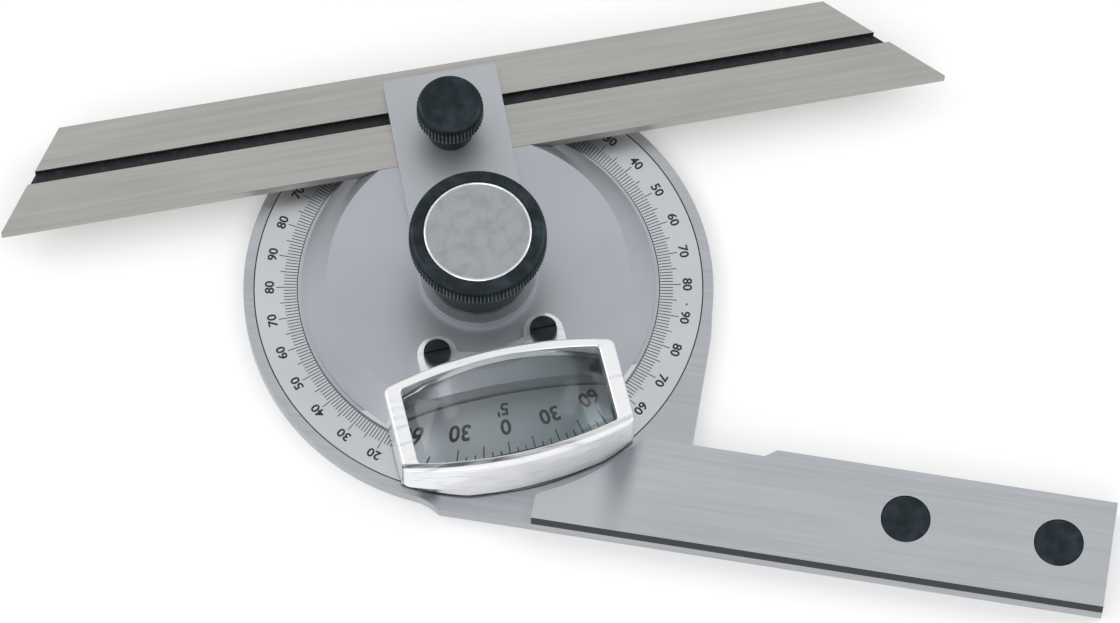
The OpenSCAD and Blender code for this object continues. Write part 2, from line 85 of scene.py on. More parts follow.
class Slot(str, Enum):
    """The material slots."""

    GROUND = "ground_steel"
    SATIN = "satin_steel"
    DIAL = "satin_chrome"
    BLADE = "blade_steel"
    BLACK = "black_steel"
    DARK = "dark_steel"
    CHROME = "bright_chrome"
    INLAY = "bright_inlay"
    GLASS = "lens_glass"


def colour(code: str) -> Colour:
    """Turn a web colour into the linear colour that a shader takes.

    Args:
        code: The colour as six hexadecimal digits after a hash sign.

    Returns:
        Red, green and blue in linear light, and an alpha of 1.
    """
    parts = Color([part / 255 for part in bytes.fromhex(code[1:])])
    return (*parts.from_srgb_to_scene_linear(), 1.0)


def polar(radius: float, degrees: float, middle: Point = (0.0, 0.0)) -> Point:
    """Return the point at a radius and an angle from a middle point."""
    turn = math.radians(degrees)
    return middle[0] + radius * math.cos(turn), middle[1] + radius * math.sin(turn)


def around(degrees: float) -> Matrix:
    """Return a turn about the swivel axis."""
    return Matrix.Rotation(math.radians(degrees), 4, "Z")


def shift(x: float = 0.0, y: float = 0.0, z: float = 0.0) -> Matrix:
    """Return a move."""
    return Matrix.Translation((x, y, z))


class Signal:
    """A shader socket that takes part in Python arithmetic."""

    def __init__(self, shader: Shader, socket: bpy.types.NodeSocket) -> None:
        """Keep the socket and the shader whose tree holds it."""
        self.shader = shader
        self.socket = socket

    def math(self, operation: str, *others: Signal | float) -> Signal:
        """Add a Math node.

        Args:
            operation: The node's operation.
            others: The values or signals of its further inputs.

        Returns:
            The node's result.
        """
        inputs = dict(enumerate((self, *others)))
        return self.shader.node("ShaderNodeMath", {"operation": operation}, inputs)

    def __add__(self, other: Signal | float) -> Signal:
        """Add."""
        return self.math("ADD", other)

    __radd__ = __add__

    def __sub__(self, other: Signal | float) -> Signal:
        """Subtract."""
        return self.math("SUBTRACT", other)

    def __rsub__(self, other: float) -> Signal:
        """Subtract from a number."""
        return self * -1.0 + other

    def __mul__(self, other: Signal | float) -> Signal:
        """Multiply."""
        return self.math("MULTIPLY", other)

    def most(self, other: Signal | float) -> Signal:
        """Take the larger of the two."""
        return self.math("MAXIMUM", other)

    def least(self, other: Signal | float) -> Signal:
        """Take the smaller of the two."""
        return self.math("MINIMUM", other)

    def swing(self, span: float) -> Signal:
        """Turn a noise into a swing about zero, of this span over its whole range."""
        return (self - NOISE_MEAN) * span

    def step(self, low: float, high: float) -> Signal:
        """Rise smoothly from 0 to 1.

        Args:
            low: The value up to which the result is 0.
            high: The value from which it is 1.

        Returns:
            The smooth step.
        """
        settings = {"interpolation_type": "SMOOTHSTEP"}
        inputs = {"Value": self, "From Min": low, "From Max": high}
        return self.shader.node("ShaderNodeMapRange", settings, inputs, "Result")


class Shader:
    """The node tree of one material or of the surroundings."""

    def __init__(self, owner: bpy.types.Material | bpy.types.World) -> None:
        """Empty the owner's node tree.

        Args:
            owner: The material or world.
        """
        owner.use_nodes = True
        self.owner = owner
        self.tree = owner.node_tree
        self.tree.nodes.clear()

    @classmethod
    def named(cls, name: str) -> Shader:
        """Start a new material of this name."""
        return cls(bpy.data.materials.new(name))

    def node(
        self,
        kind: str,
        settings: dict[str, Any] | None = None,
        inputs: dict[str | int, Any] | None = None,
        output: str | int = 0,
    ) -> Signal:
        """Add a node, set it up and feed its sockets.

        Args:
            kind: The node's type.
            settings: Its properties, which are set first.
            inputs: Values or signals by socket name or index.
            output: The socket to return.

        Returns:
            The chosen output.
        """
        made = self.tree.nodes.new(kind)
        for key, value in (settings or {}).items():
            setattr(made, key, value)
        for key, value in (inputs or {}).items():
            if isinstance(value, Signal):
                self.tree.links.new(value.socket, made.inputs[key])
            else:
                made.inputs[key].default_value = value
        return Signal(self, made.outputs[output])

    def place(self) -> Signal:
        """Return the Object coordinates, in metres."""
        return self.node("ShaderNodeTexCoord", output="Object")

    def vectors(self, operation: str, first: Signal, second: Triple, output: str = "Value") -> Signal:
        """Add a Vector Math node.

        Args:
            operation: The node's operation.
            first: Its first vector.
            second: Its second vector.
            output: The socket to return.

        Returns:
            The node's result.
        """
        return self.node("ShaderNodeVectorMath", {"operation": operation}, {0: first, 1: second}, output)

    def along(self, degrees: float, middle: Point = (0.0, 0.0)) -> Signal:
        """Measure how far a spot lies from a middle in a level direction.

        Args:
            degrees: The direction, from +X.
            middle: The middle, in millimetres.

        Returns:
            The distance, in millimetres.
        """
        x, y = polar(1 / MM, degrees)
        reach = self.vectors("DOT_PRODUCT", self.place(), (x, y, 0.0))
        return reach - (middle[0] * x + middle[1] * y) * MM

    def radius(self, middles: Sequence[Point]) -> Signal:
        """Measure the distance from the nearest of some upright axes.

        Args:
            middles: The axes, in millimetres.

        Returns:
            The distance, in millimetres.
        """
        flat = self.vectors("MULTIPLY", self.place(), (1 / MM, 1 / MM, 0.0), "Vector")
        return reduce(Signal.least, [self.vectors("DISTANCE", flat, (x, y, 0.0)) for x, y in middles])

    def noise(self, size: Triple, angle: float = 0.0, detail: float = 3.0, seed: float = 0.0) -> Signal:
        """Add noise whose blots have a length, a width and a height.

        Args:
            size: The blots' length, width and height in millimetres.
            angle: The direction of their length from +X.
            detail: The number of finer layers.
            seed: A shift in millimetres that makes one noise differ from the next.

        Returns:
            The noise, about 0.5.
        """
        inputs = {
            "Vector": self.place(),
            "Location": (seed * MM,) * 3,
            "Rotation": (0.0, 0.0, math.radians(angle)),
            "Scale": tuple(s * MM for s in size),
        }
        vector = self.node("ShaderNodeMapping", {"vector_type": "TEXTURE"}, inputs)
        return self.node("ShaderNodeTexNoise", None, {"Vector": vector, "Scale": 1.0, "Detail": detail})

    def blend(self, share: Signal, first: Signal | Colour, second: Signal | Colour) -> Signal:
        """Mix two colours by a share of the second, through the node's colour sockets."""
        return self.node("ShaderNodeMix", {"data_type": "RGBA"}, {0: share, 6: first, 7: second}, 2)

    def layer(self, share: Signal, first: Signal, second: Signal) -> Signal:
        """Mix two shaders by a share of the second."""
        return self.node("ShaderNodeMixShader", None, {0: share, 1: first, 2: second})

    def light(self, strength: Signal | float) -> Signal:
        """Add a white glow of this strength."""
        return self.node("ShaderNodeEmission", None, {"Color": WHITE, "Strength": strength})

    def relief(self, height: Signal, depth: float) -> Signal:
        """Bump the surface by a height of at most depth millimetres."""
        inputs = {"Height": height, "Distance": depth * MM, "Strength": 1.0}
        return self.node("ShaderNodeBump", None, inputs, "Normal")

    def surface(self, inputs: dict[str | int, Any]) -> Signal:
        """Add the main shader with these inputs."""
        return self.node("ShaderNodeBsdfPrincipled", None, inputs, "BSDF")

    def done(self, surface: Signal, output: str = "ShaderNodeOutputMaterial") -> bpy.types.ID:
        """Join the surface to the output node.

        Args:
            surface: The finished shader.
            output: The output node's type.

        Returns:
            The owner of the tree.
        """
        made = self.tree.nodes.new(output)
        self.tree.links.new(surface.socket, made.inputs["Surface"])
        return self.owner


@dataclass(frozen=True)
class GroundSteel:
    """Bare steel with a fine grain in one direction and broad, faint clouds.

    Attributes:
        name: The material's name.
        light: The colour on the grain's ridges.
        dark: The colour in its valleys.
        shade_tone: The colour of the painted shade at the end of its polished part, near the magnifier.
        roughness: The mean roughness.
        rough_swing: How far the grain and the clouds move the roughness.
        angle: The direction of the grain.
        length: The length of one stroke.
        width: The width of one stroke.
        bundle: How much longer and wider a bundle of strokes is, and its height.
        stroke_share: The strength of single strokes against that of bundles.
        contrast: How far the grain moves the colour.
        cloud: How far broad clouds move the colour.
        cloud_size: The clouds' length, width and height.
        depth: The depth of the grain.
        plain_until: The X below which the grain is polished away, by default off the tool.
        plain_fade: Where the grain starts and where it is full, from that X.
        plain_gain: How much lighter the polished part is.
        polish: How much less rough the polished part is.
        shade_blot: Where the soft painted shade starts, is darkest and ends, from that X.
        shade_blot_y: The Y at which the painted shade is weakest, and at which it is strongest.
        shade_blot_share: Its strength at these two.
    """

    name: str
    light: str
    dark: str
    shade_tone: str = "#8f959a"
    roughness: float = 0.33
    rough_swing: Pair = (0.1, 0.05)
    angle: float = 0.0
    length: float = 16.0
    width: float = 0.1
    bundle: Triple = (3.0, 8.0, 2.0)
    stroke_share: float = 1.5
    contrast: float = 0.9
    cloud: float = 0.5
    cloud_size: Triple = (20.0, 9.0, 9.0)
    depth: float = 0.0012
    plain_until: float = -200.0
    plain_fade: Pair = (-1.5, 1.0)
    plain_gain: float = 0.3
    polish: float = 0.0
    shade_blot: Triple = (-6.5, -2.3, 1.0)
    shade_blot_y: Pair = (-37.0, -24.0)
    shade_blot_share: Pair = (0.3, 1.4)

    def material(self) -> bpy.types.Material:
        """Build the material."""
        shader = Shader.named(self.name)
        longer, wider, height = self.bundle
        bundle = (longer * self.length, wider * self.width, height)
        stroke = shader.noise((self.length, self.width, self.width), self.angle, detail=4.0)
        streak = shader.noise(bundle, self.angle, detail=2.0, seed=40.0)
        clouds = shader.noise(self.cloud_size, self.angle, detail=2.0, seed=90.0)
        reach = shader.along(0.0, (self.plain_until, 0.0))
        grained = reach.step(*self.plain_fade)
        plain = 1.0 - grained
        grain = (stroke.swing(self.stroke_share) + streak.swing(1.0)) * grained * self.contrast
        tone = (grain + clouds.swing(self.cloud) + NOISE_MEAN + plain * self.plain_gain).step(0.0, 1.0)
        steel = shader.blend(tone, colour(self.dark), colour(self.light))
        by_grain, by_clouds = self.rough_swing
        rough = self.roughness + stroke.swing(by_grain) * grained + clouds.swing(by_clouds)
        inputs = {
            # painted shade: the rail's polished end darkens softly, most towards the magnifier
            "Base Color": shader.blend(self.painted_shade_share(shader, reach), steel, colour(self.shade_tone)),
            "Metallic": 1.0,
            "Roughness": rough - plain * self.polish,
            "Normal": shader.relief(stroke * grained, self.depth),
        }
        return shader.done(shader.surface(inputs))

    def painted_shade_share(self, shader: Shader, reach: Signal) -> Signal:
        """Work out how far the painted shade covers a spot.

        Args:
            shader: The material's node tree.
            reach: How far the spot lies from the polished part's end, along X.

        Returns:
            The painted shade's share of the colour.
        """
        start, peak, end = self.shade_blot
        weak, strong = self.shade_blot_share
        strength = shader.along(90.0).step(*self.shade_blot_y) * (strong - weak) + weak
        return reach.step(start, peak) * (1.0 - reach.step(peak, end)) * strength


@dataclass(frozen=True)
class SatinSteel:
    """Evenly matted metal with a fine tooth.

    Attributes:
        name: The material's name.
        light: The lighter of its two close colours.
        dark: The darker one.
        roughness: The mean roughness.
        grit: The size of its tooth.
        cloud: The size of its broad clouds.
        tone_swing: How far tooth and clouds move the colour.
        rough_swing: How far tooth and clouds move the roughness.
        depth: The depth of the tooth.
    """

    name: str
    light: str
    dark: str
    roughness: float = 0.42
    grit: float = 0.12
    cloud: float = 15.0
    tone_swing: Pair = (0.4, 1.2)
    rough_swing: Pair = (0.12, 0.08)
    depth: float = 0.003

    def material(self) -> bpy.types.Material:
        """Build the material."""
        shader = Shader.named(self.name)
        tooth = shader.noise((self.grit,) * 3, detail=2.0)
        clouds = shader.noise((self.cloud,) * 3, seed=30.0)
        by_tooth, by_clouds = self.tone_swing
        tone = (clouds.swing(by_clouds) + tooth.swing(by_tooth) + NOISE_MEAN).step(0.0, 1.0)
        by_tooth, by_clouds = self.rough_swing
        inputs = {
            "Base Color": shader.blend(tone, colour(self.dark), colour(self.light)),
            "Metallic": 1.0,
            "Roughness": self.roughness + tooth.swing(by_tooth) + clouds.swing(by_clouds),
            "Normal": shader.relief(tooth, self.depth),
        }
        return shader.done(shader.surface(inputs))


@dataclass(frozen=True)
class BlackedSteel:
    """Turned steel under a black oxide, worn a little brighter in places; its knurl tips are also lightened
    as a painted glint.

    Attributes:
        name: The material's name.
        film: The colour of the oxide.
        worn: The colour where it is thin.
        metal: How far it shines as metal.
        roughness: The mean roughness.
        rough_swing: How far the tooth moves the roughness.
        patch: The size of thin patches.
        tooth: The size of the fine tooth.
        shares: How far patches, tooth and turning marks thin the oxide.
        wear: From where to where their sum runs.
        middles: The upright axes round which its turning marks run.
        ring_w: The mean width of a turning mark.
        ring_d: The depth of the marks.
        tooth_share: The depth of the tooth against that of the marks.
        tip_r: The radius from which the tips of knurls are lightened, by default off the piece.
        tip_fade: The width over which they lighten.
        tip_wear_and_glint: How light they are, against the noise of the patches: real wear and painted
            glint.
        bare_and_glint: The colour of those tips, worn to bright metal and painted as a glint.
        edge_shine: The share of its shine that is left at a grazing view.
    """

    name: str
    film: str = "#20292e"
    worn: str = "#3d484d"
    metal: float = 0.6
    roughness: float = 0.34
    rough_swing: float = 0.2
    patch: float = 2.4
    tooth: float = 0.18
    shares: Triple = (0.6, 0.2, 0.2)
    wear: Pair = (0.4, 0.78)
    middles: tuple[Point, ...] = ((0.0, 0.0),)
    ring_w: float = 0.12
    ring_d: float = 0.006
    tooth_share: float = 0.4
    tip_r: float = 100.0
    tip_fade: float = 0.08
    tip_wear_and_glint: float = 1.6
    bare_and_glint: str = "#8b9499"
    edge_shine: float = 0.45

    def material(self) -> bpy.types.Material:
        """Build the material."""
        shader = Shader.named(self.name)
        patches = shader.noise((self.patch,) * 3, detail=4.0)
        tooth = shader.noise((self.tooth,) * 3, detail=2.0, seed=12.0)
        from_axis = shader.radius(self.middles)
        settings = {"noise_dimensions": "1D"}
        inputs = {"W": from_axis, "Scale": 1 / self.ring_w, "Detail": 2.0}
        rings = shader.node("ShaderNodeTexNoise", settings, inputs)
        by_patches, by_tooth, by_rings = self.shares
        thin = (patches * by_patches + tooth * by_tooth + rings * by_rings).step(*self.wear)
        oxide = shader.blend(thin, colour(self.film), colour(self.worn))
        # knurl tips lightened: partly real wear, partly a painted glint
        tips = from_axis.step(self.tip_r - self.tip_fade, self.tip_r) * (patches * self.tip_wear_and_glint).least(1.0)
        inputs = {
            "Base Color": shader.blend(tips, oxide, colour(self.bare_and_glint)),
            "Metallic": self.metal,
            "Specular Tint": (*(self.edge_shine,) * 3, 1.0),
            "Roughness": self.roughness + tooth.swing(self.rough_swing),
            "Normal": shader.relief(rings + tooth * self.tooth_share, self.ring_d),
        }
        return shader.done(shader.surface(inputs))


@dataclass(frozen=True)
class BrightChrome:
    """Bright plating, a little milky, with grey streaks, a dark painted reflection along the window, and
    shallow ripples.

    Attributes:
        name: The material's name.
        bright: The clean colour.
        streak_tone: The colour of its faint streaks and of its painted reflection.
        roughness: The mean roughness.
        rough_swing: How far the streaks move it.
        metal: The share of its top that shines as metal; the rest is milky.
        wall_metal: The share of its front wall that does.
        wall_fade: The width over which the one becomes the other.
        angle: The direction of its streaks, and of the window's length.
        faint_streak: The length, width and height of a faint streak.
        faint_streak_from: From where to where the noise shows such streaks.
        faint_streak_share: How dark they are.
        ripple: The length, width and height of a ripple.
        ripple_d: The depth of the ripples.
        middle: The middle of the window.
        side: The distance from there to the middle of the window's bulging side.
        bow: How fast that side falls back towards its ends.
        streak: Where the painted reflection, a dark streak on the rim, starts and ends, from the window's
            side.
        streak_fade: How far its edges fade outwards and inwards.
        streak_thin: Where along the side it starts to thin, and where it is thinnest.
        streak_loss: The share of it that is gone there.
        streak_breakup: How full it is, against the noise of the faint streaks that breaks it up.
    """

    name: str
    bright: str = "#f6f7f9"
    streak_tone: str = "#5d6367"
    roughness: float = 0.13
    rough_swing: float = 0.12
    metal: float = 0.6
    wall_metal: float = 0.25
    wall_fade: float = 0.4
    angle: float = 23.0
    faint_streak: Triple = (6.0, 0.7, 0.7)
    faint_streak_from: Pair = (0.5, 0.9)
    faint_streak_share: float = 0.5
    ripple: Triple = (3.0, 3.0, 1.6)
    ripple_d: float = 0.03
    middle: Point = (8.71, -23.22)
    side: float = 8.0
    bow: float = 0.0074
    streak: Pair = (0.32, 1.0)
    streak_fade: Pair = (0.15, 0.1)
    streak_thin: Pair = (-4.0, 14.0)
    streak_loss: float = 0.65
    streak_breakup: float = 1.7

    def material(self) -> bpy.types.Material:
        """Build the material."""
        shader = Shader.named(self.name)
        # faint grey streaks along the window's length
        faint_streak = shader.noise(self.faint_streak, self.angle, detail=4.0)
        ripple = shader.noise(self.ripple, self.angle, detail=2.0, seed=25.0)
        length = shader.along(self.angle, self.middle)
        across = shader.along(self.angle - 90, self.middle)
        beyond = across + length * length * self.bow - self.side
        # faint streaks, plus the painted reflection: a dark streak on the rim along the window's side
        share = faint_streak.step(*self.faint_streak_from) * self.faint_streak_share + self.painted_reflection_streak(length, beyond, faint_streak)
        end = self.streak[1]
        inputs = {
            "Base Color": shader.blend(share.least(1.0), colour(self.bright), colour(self.streak_tone)),
            "Metallic": self.metal - beyond.step(end, end + self.wall_fade) * (self.metal - self.wall_metal),
            "Roughness": self.roughness + faint_streak.swing(self.rough_swing),
            "Normal": shader.relief(ripple, self.ripple_d),
        }
        return shader.done(shader.surface(inputs))

    def painted_reflection_streak(self, length: Signal, beyond: Signal, faint_streak: Signal) -> Signal:
        """Work out the painted reflection, a dark streak along the window's side.

        Args:
            length: How far a spot lies from the window's middle, along its length.
            beyond: How far it lies outside the window's side.
            faint_streak: The noise of the faint streaks.

        Returns:
            The painted reflection's share of the colour.
        """
        start, end = self.streak
        outwards, inwards = self.streak_fade
        rise = beyond.step(start - outwards, start + inwards)
        fall = 1.0 - beyond.step(end - inwards, end + outwards)
        thinned = 1.0 - length.step(*self.streak_thin) * self.streak_loss
        return rise * fall * thinned * (faint_streak * self.streak_breakup).least(1.0)


@dataclass(frozen=True)
class ScratchedInlay:
    """A bright disc, clouded and lightly scratched.

    Attributes:
        name: The material's name.
        bright: The polished colour.
        dull: The colour in scratches and clouds.
        roughness: The roughness where it is polished.
        rough_gain: How much rougher it is where it is dull.
        scratch: The length, width and height of a scratch.
        scratch_angles: The two directions of the scratches.
        scratch_from: From where to where the noise shows a scratch.
        scratch_share: How far a scratch dulls.
        scratch_d: The depth of the scratches.
        cloud: The length, width and height of a cloud.
        cloud_angle: The direction of the clouds' length.
        cloud_from: From where to where the noise shows a cloud.
        cloud_share: How far a cloud dulls.
    """

    name: str
    bright: str = "#acb0b5"
    dull: str = "#9da1a6"
    roughness: float = 0.3
    rough_gain: float = 0.12
    scratch: Triple = (5.0, 0.2, 1.0)
    scratch_angles: Pair = (8.0, 78.0)
    scratch_from: Pair = (0.5, 0.8)
    scratch_share: float = 0.35
    scratch_d: float = 0.006
    cloud: Triple = (2.2, 1.9, 1.0)
    cloud_angle: float = 60.0
    cloud_from: Pair = (0.35, 0.7)
    cloud_share: float = 0.7

    def material(self) -> bpy.types.Material:
        """Build the material."""
        shader = Shader.named(self.name)
        first, second = self.scratch_angles
        along = shader.noise(self.scratch, first)
        across = shader.noise(self.scratch, second, seed=30.0)
        clouds = shader.noise(self.cloud, self.cloud_angle, detail=5.0, seed=60.0)
        scratches = along.step(*self.scratch_from) + across.step(*self.scratch_from)
        share = scratches * self.scratch_share + clouds.step(*self.cloud_from) * self.cloud_share
        inputs = {
            "Base Color": shader.blend(share.step(0.0, 1.0), colour(self.bright), colour(self.dull)),
            "Metallic": 1.0,
            "Roughness": self.roughness + share * self.rough_gain,
            "Normal": shader.relief(along + across, self.scratch_d),
        }
        return shader.done(shader.surface(inputs))


@dataclass(frozen=True)
class BlackFilling:
    """The black in the divisions and in the blade's groove.

    Attributes:
        name: The material's name.
        black: Its colour.
        faded: The colour where it has worn thin.
        roughness: The mean roughness.
        rough_swing: How far the wear moves it.
        patch: The size of the thin patches.
        wear: From where to where the noise shows them.
    """

    name: str
    black: str = "#15181a"
    faded: str = "#2e3538"
    roughness: float = 0.55
    rough_swing: float = 0.2
    patch: float = 0.8
    wear: Pair = (0.45, 0.8)

    def material(self) -> bpy.types.Material:
        """Build the material."""
        shader = Shader.named(self.name)
        wear = shader.noise((self.patch,) * 3)
        inputs = {
            "Base Color": shader.blend(wear.step(*self.wear), colour(self.black), colour(self.faded)),
            "Roughness": self.roughness + wear.swing(self.rough_swing),
        }
        return shader.done(shader.surface(inputs))


@dataclass(frozen=True)
class LensGlass:
    """Glass that is clear at one end and dims to a greenish grey towards the other, as painted shade.

    Attributes:
        name: The material's name.
        clear: The colour of the light that its clear end passes.
        shaded_end: The colour that its end under the painted shade passes.
        middle: The lens's middle, from which the painted shade grows along X.
        fade: How far from there the painted shade starts and where it is full.
        shade_blot: The length, width and height of an uneven place in the painted shade.
        shade_blot_reach: How far such places shift the painted shade.
        bending: Its index of refraction, which sets how far it magnifies.
        shine: The share that is left of the reflections of so dense a glass.
    """

    name: str
    clear: str = "#fbfeff"
    shaded_end: str = "#bcc7c9"
    middle: Point = (8.5, -23.3)
    fade: Pair = (-12.0, 12.0)
    shade_blot: Triple = (8.0, 3.0, 3.0)
    shade_blot_reach: float = 6.0
    bending: float = 2.3
    shine: float = 0.25

    def material(self) -> bpy.types.Material:
        """Build the material."""
        shader = Shader.named(self.name)
        # painted shade: the glass passes less light, and greener, towards +X, dimming the view through it
        # there
        uneven = shader.noise(self.shade_blot).swing(self.shade_blot_reach)
        share = (shader.along(0.0, self.middle) + uneven).step(*self.fade)
        inputs = {
            "Base Color": shader.blend(share, colour(self.clear), colour(self.shaded_end)),
            "Roughness": 0.0,
            "IOR": self.bending,
            "Specular Tint": (*(self.shine,) * 3, 1.0),
            "Transmission Weight": 1.0,
        }
        return shader.done(shader.surface(inputs))


@dataclass(frozen=True)
class PalePaper:
    """The floor's paper, a little brighter to the camera, and seen through from below.

    Attributes:
        name: The material's name.
        mirrored: The plain brightness that a reflection of it has.
        glow: How much brighter the camera sees it than its shadows leave it.
        shades: Its two close colours.
        cloud: The size of its clouds.
        roughness: Its roughness.
        gloss: Its slight gloss.
    """

    name: str
    mirrored: float
    glow: float = 0.12
    shades: tuple[str, str] = ("#f3f3f3", "#f7f7f7")
    cloud: float = 40.0
    roughness: float = 0.9
    gloss: float = 0.1

    def material(self) -> bpy.types.Material:
        """Build the material."""
        shader = Shader.named(self.name)
        clouds = shader.noise((self.cloud,) * 3, detail=2.0)
        tone = shader.blend(clouds, *(colour(shade) for shade in self.shades))
        inputs = {"Base Color": tone, "Roughness": self.roughness, "Specular IOR Level": self.gloss}
        seen = shader.node("ShaderNodeLightPath", output="Is Camera Ray")
        parts = {0: shader.surface(inputs), 1: shader.light(seen * self.glow)}
        lit = shader.node("ShaderNodeAddShader", None, parts)
        glossy = shader.node("ShaderNodeLightPath", output="Is Glossy Ray")
        top = shader.layer(glossy, lit, shader.light(self.mirrored))
        below = shader.node("ShaderNodeNewGeometry", output="Backfacing")
        return shader.done(shader.layer(below, top, shader.node("ShaderNodeBsdfTransparent")))


class Finishes:
    """Every finish of the tool, each built once."""

    def __init__(self) -> None:
        """Build the materials."""
        grounds = (
            GroundSteel("plate_steel", "#bfc2c7", "#aeb1b6"),
            GroundSteel("rail_steel", "#c3c6cb", "#b2b5ba", plain_until=29.3, polish=0.1),
            # painted shade: dark steel for the rail's front face, standing for the shade along the rail's
            # edge
            GroundSteel("rail_front_steel", "#25292c", "#16191b", roughness=0.4),
            GroundSteel("blade_steel", "#bcbab6", "#aaa8a4", roughness=0.36, angle=20.0, length=14.0),
        )
        self.plate, self.rail, self.rail_front, self.blade = (ground.material() for ground in grounds)
        self.turret = SatinSteel("turret_steel", "#bcbfc6", "#b2b5bb").material()
        self.arm = SatinSteel("arm_steel", "#bfc3c9", "#b4b8bd", roughness=0.45).material()
        self.dial = SatinSteel("dial_chrome", "#d2d5d9", "#c9cdd1", roughness=0.4, grit=0.08).material()
        self.black = BlackedSteel("black_oxide").material()
        self.dark = BlackedSteel("turned_steel", "#565b5e", "#7d8386", roughness=0.4).material()
        self.bronze = SatinSteel("bearing_bronze", "#b9934f", "#9c7a3d", roughness=0.35).material()
        self.chrome = BrightChrome("polished_chrome").material()
        self.inlay = ScratchedInlay("scratched_inlay").material()
        self.filling = BlackFilling("black_filling").material()
        self.glass = LensGlass("lens_glass").material()

    def turned_black(
        self, name: str, middles: Sequence[Point], tip_r: float = BlackedSteel.tip_r
    ) -> bpy.types.Material:
        """Build the black finish with turning marks round some axes.

        Args:
            name: The material's name.
            middles: The axes.
            tip_r: The radius from which the tips of knurls are lightened, as real wear and as a painted
                glint.

        Returns:
            The material.
        """
        return BlackedSteel(name, middles=tuple(middles), tip_r=tip_r).material()


def turned_about(face: bmesh.types.BMFace, middles: Sequence[Point]) -> Point | None:
    """Find the upright axis that a facet of a turned surface runs round.

    Args:
        face: The facet, in millimetres.
        middles: The axes to try.

    Returns:
        The axis, or None where the face is flat in itself or faces straight up or down.
    """
    flat = face.normal.xy
    if flat.length < LEAST_LEAN:
        return None
    for middle in middles:
        reaches = [vert.co.xy - Vector(middle) for vert in face.verts]
        if all(0 < r.length and r.length * flat.length - abs(r.dot(flat)) < MOST_SAGITTA for r in reaches):
            return middle
    return None


def anywhere(_: Vector) -> bool:
    """Pick every edge, wherever it is."""
    return True


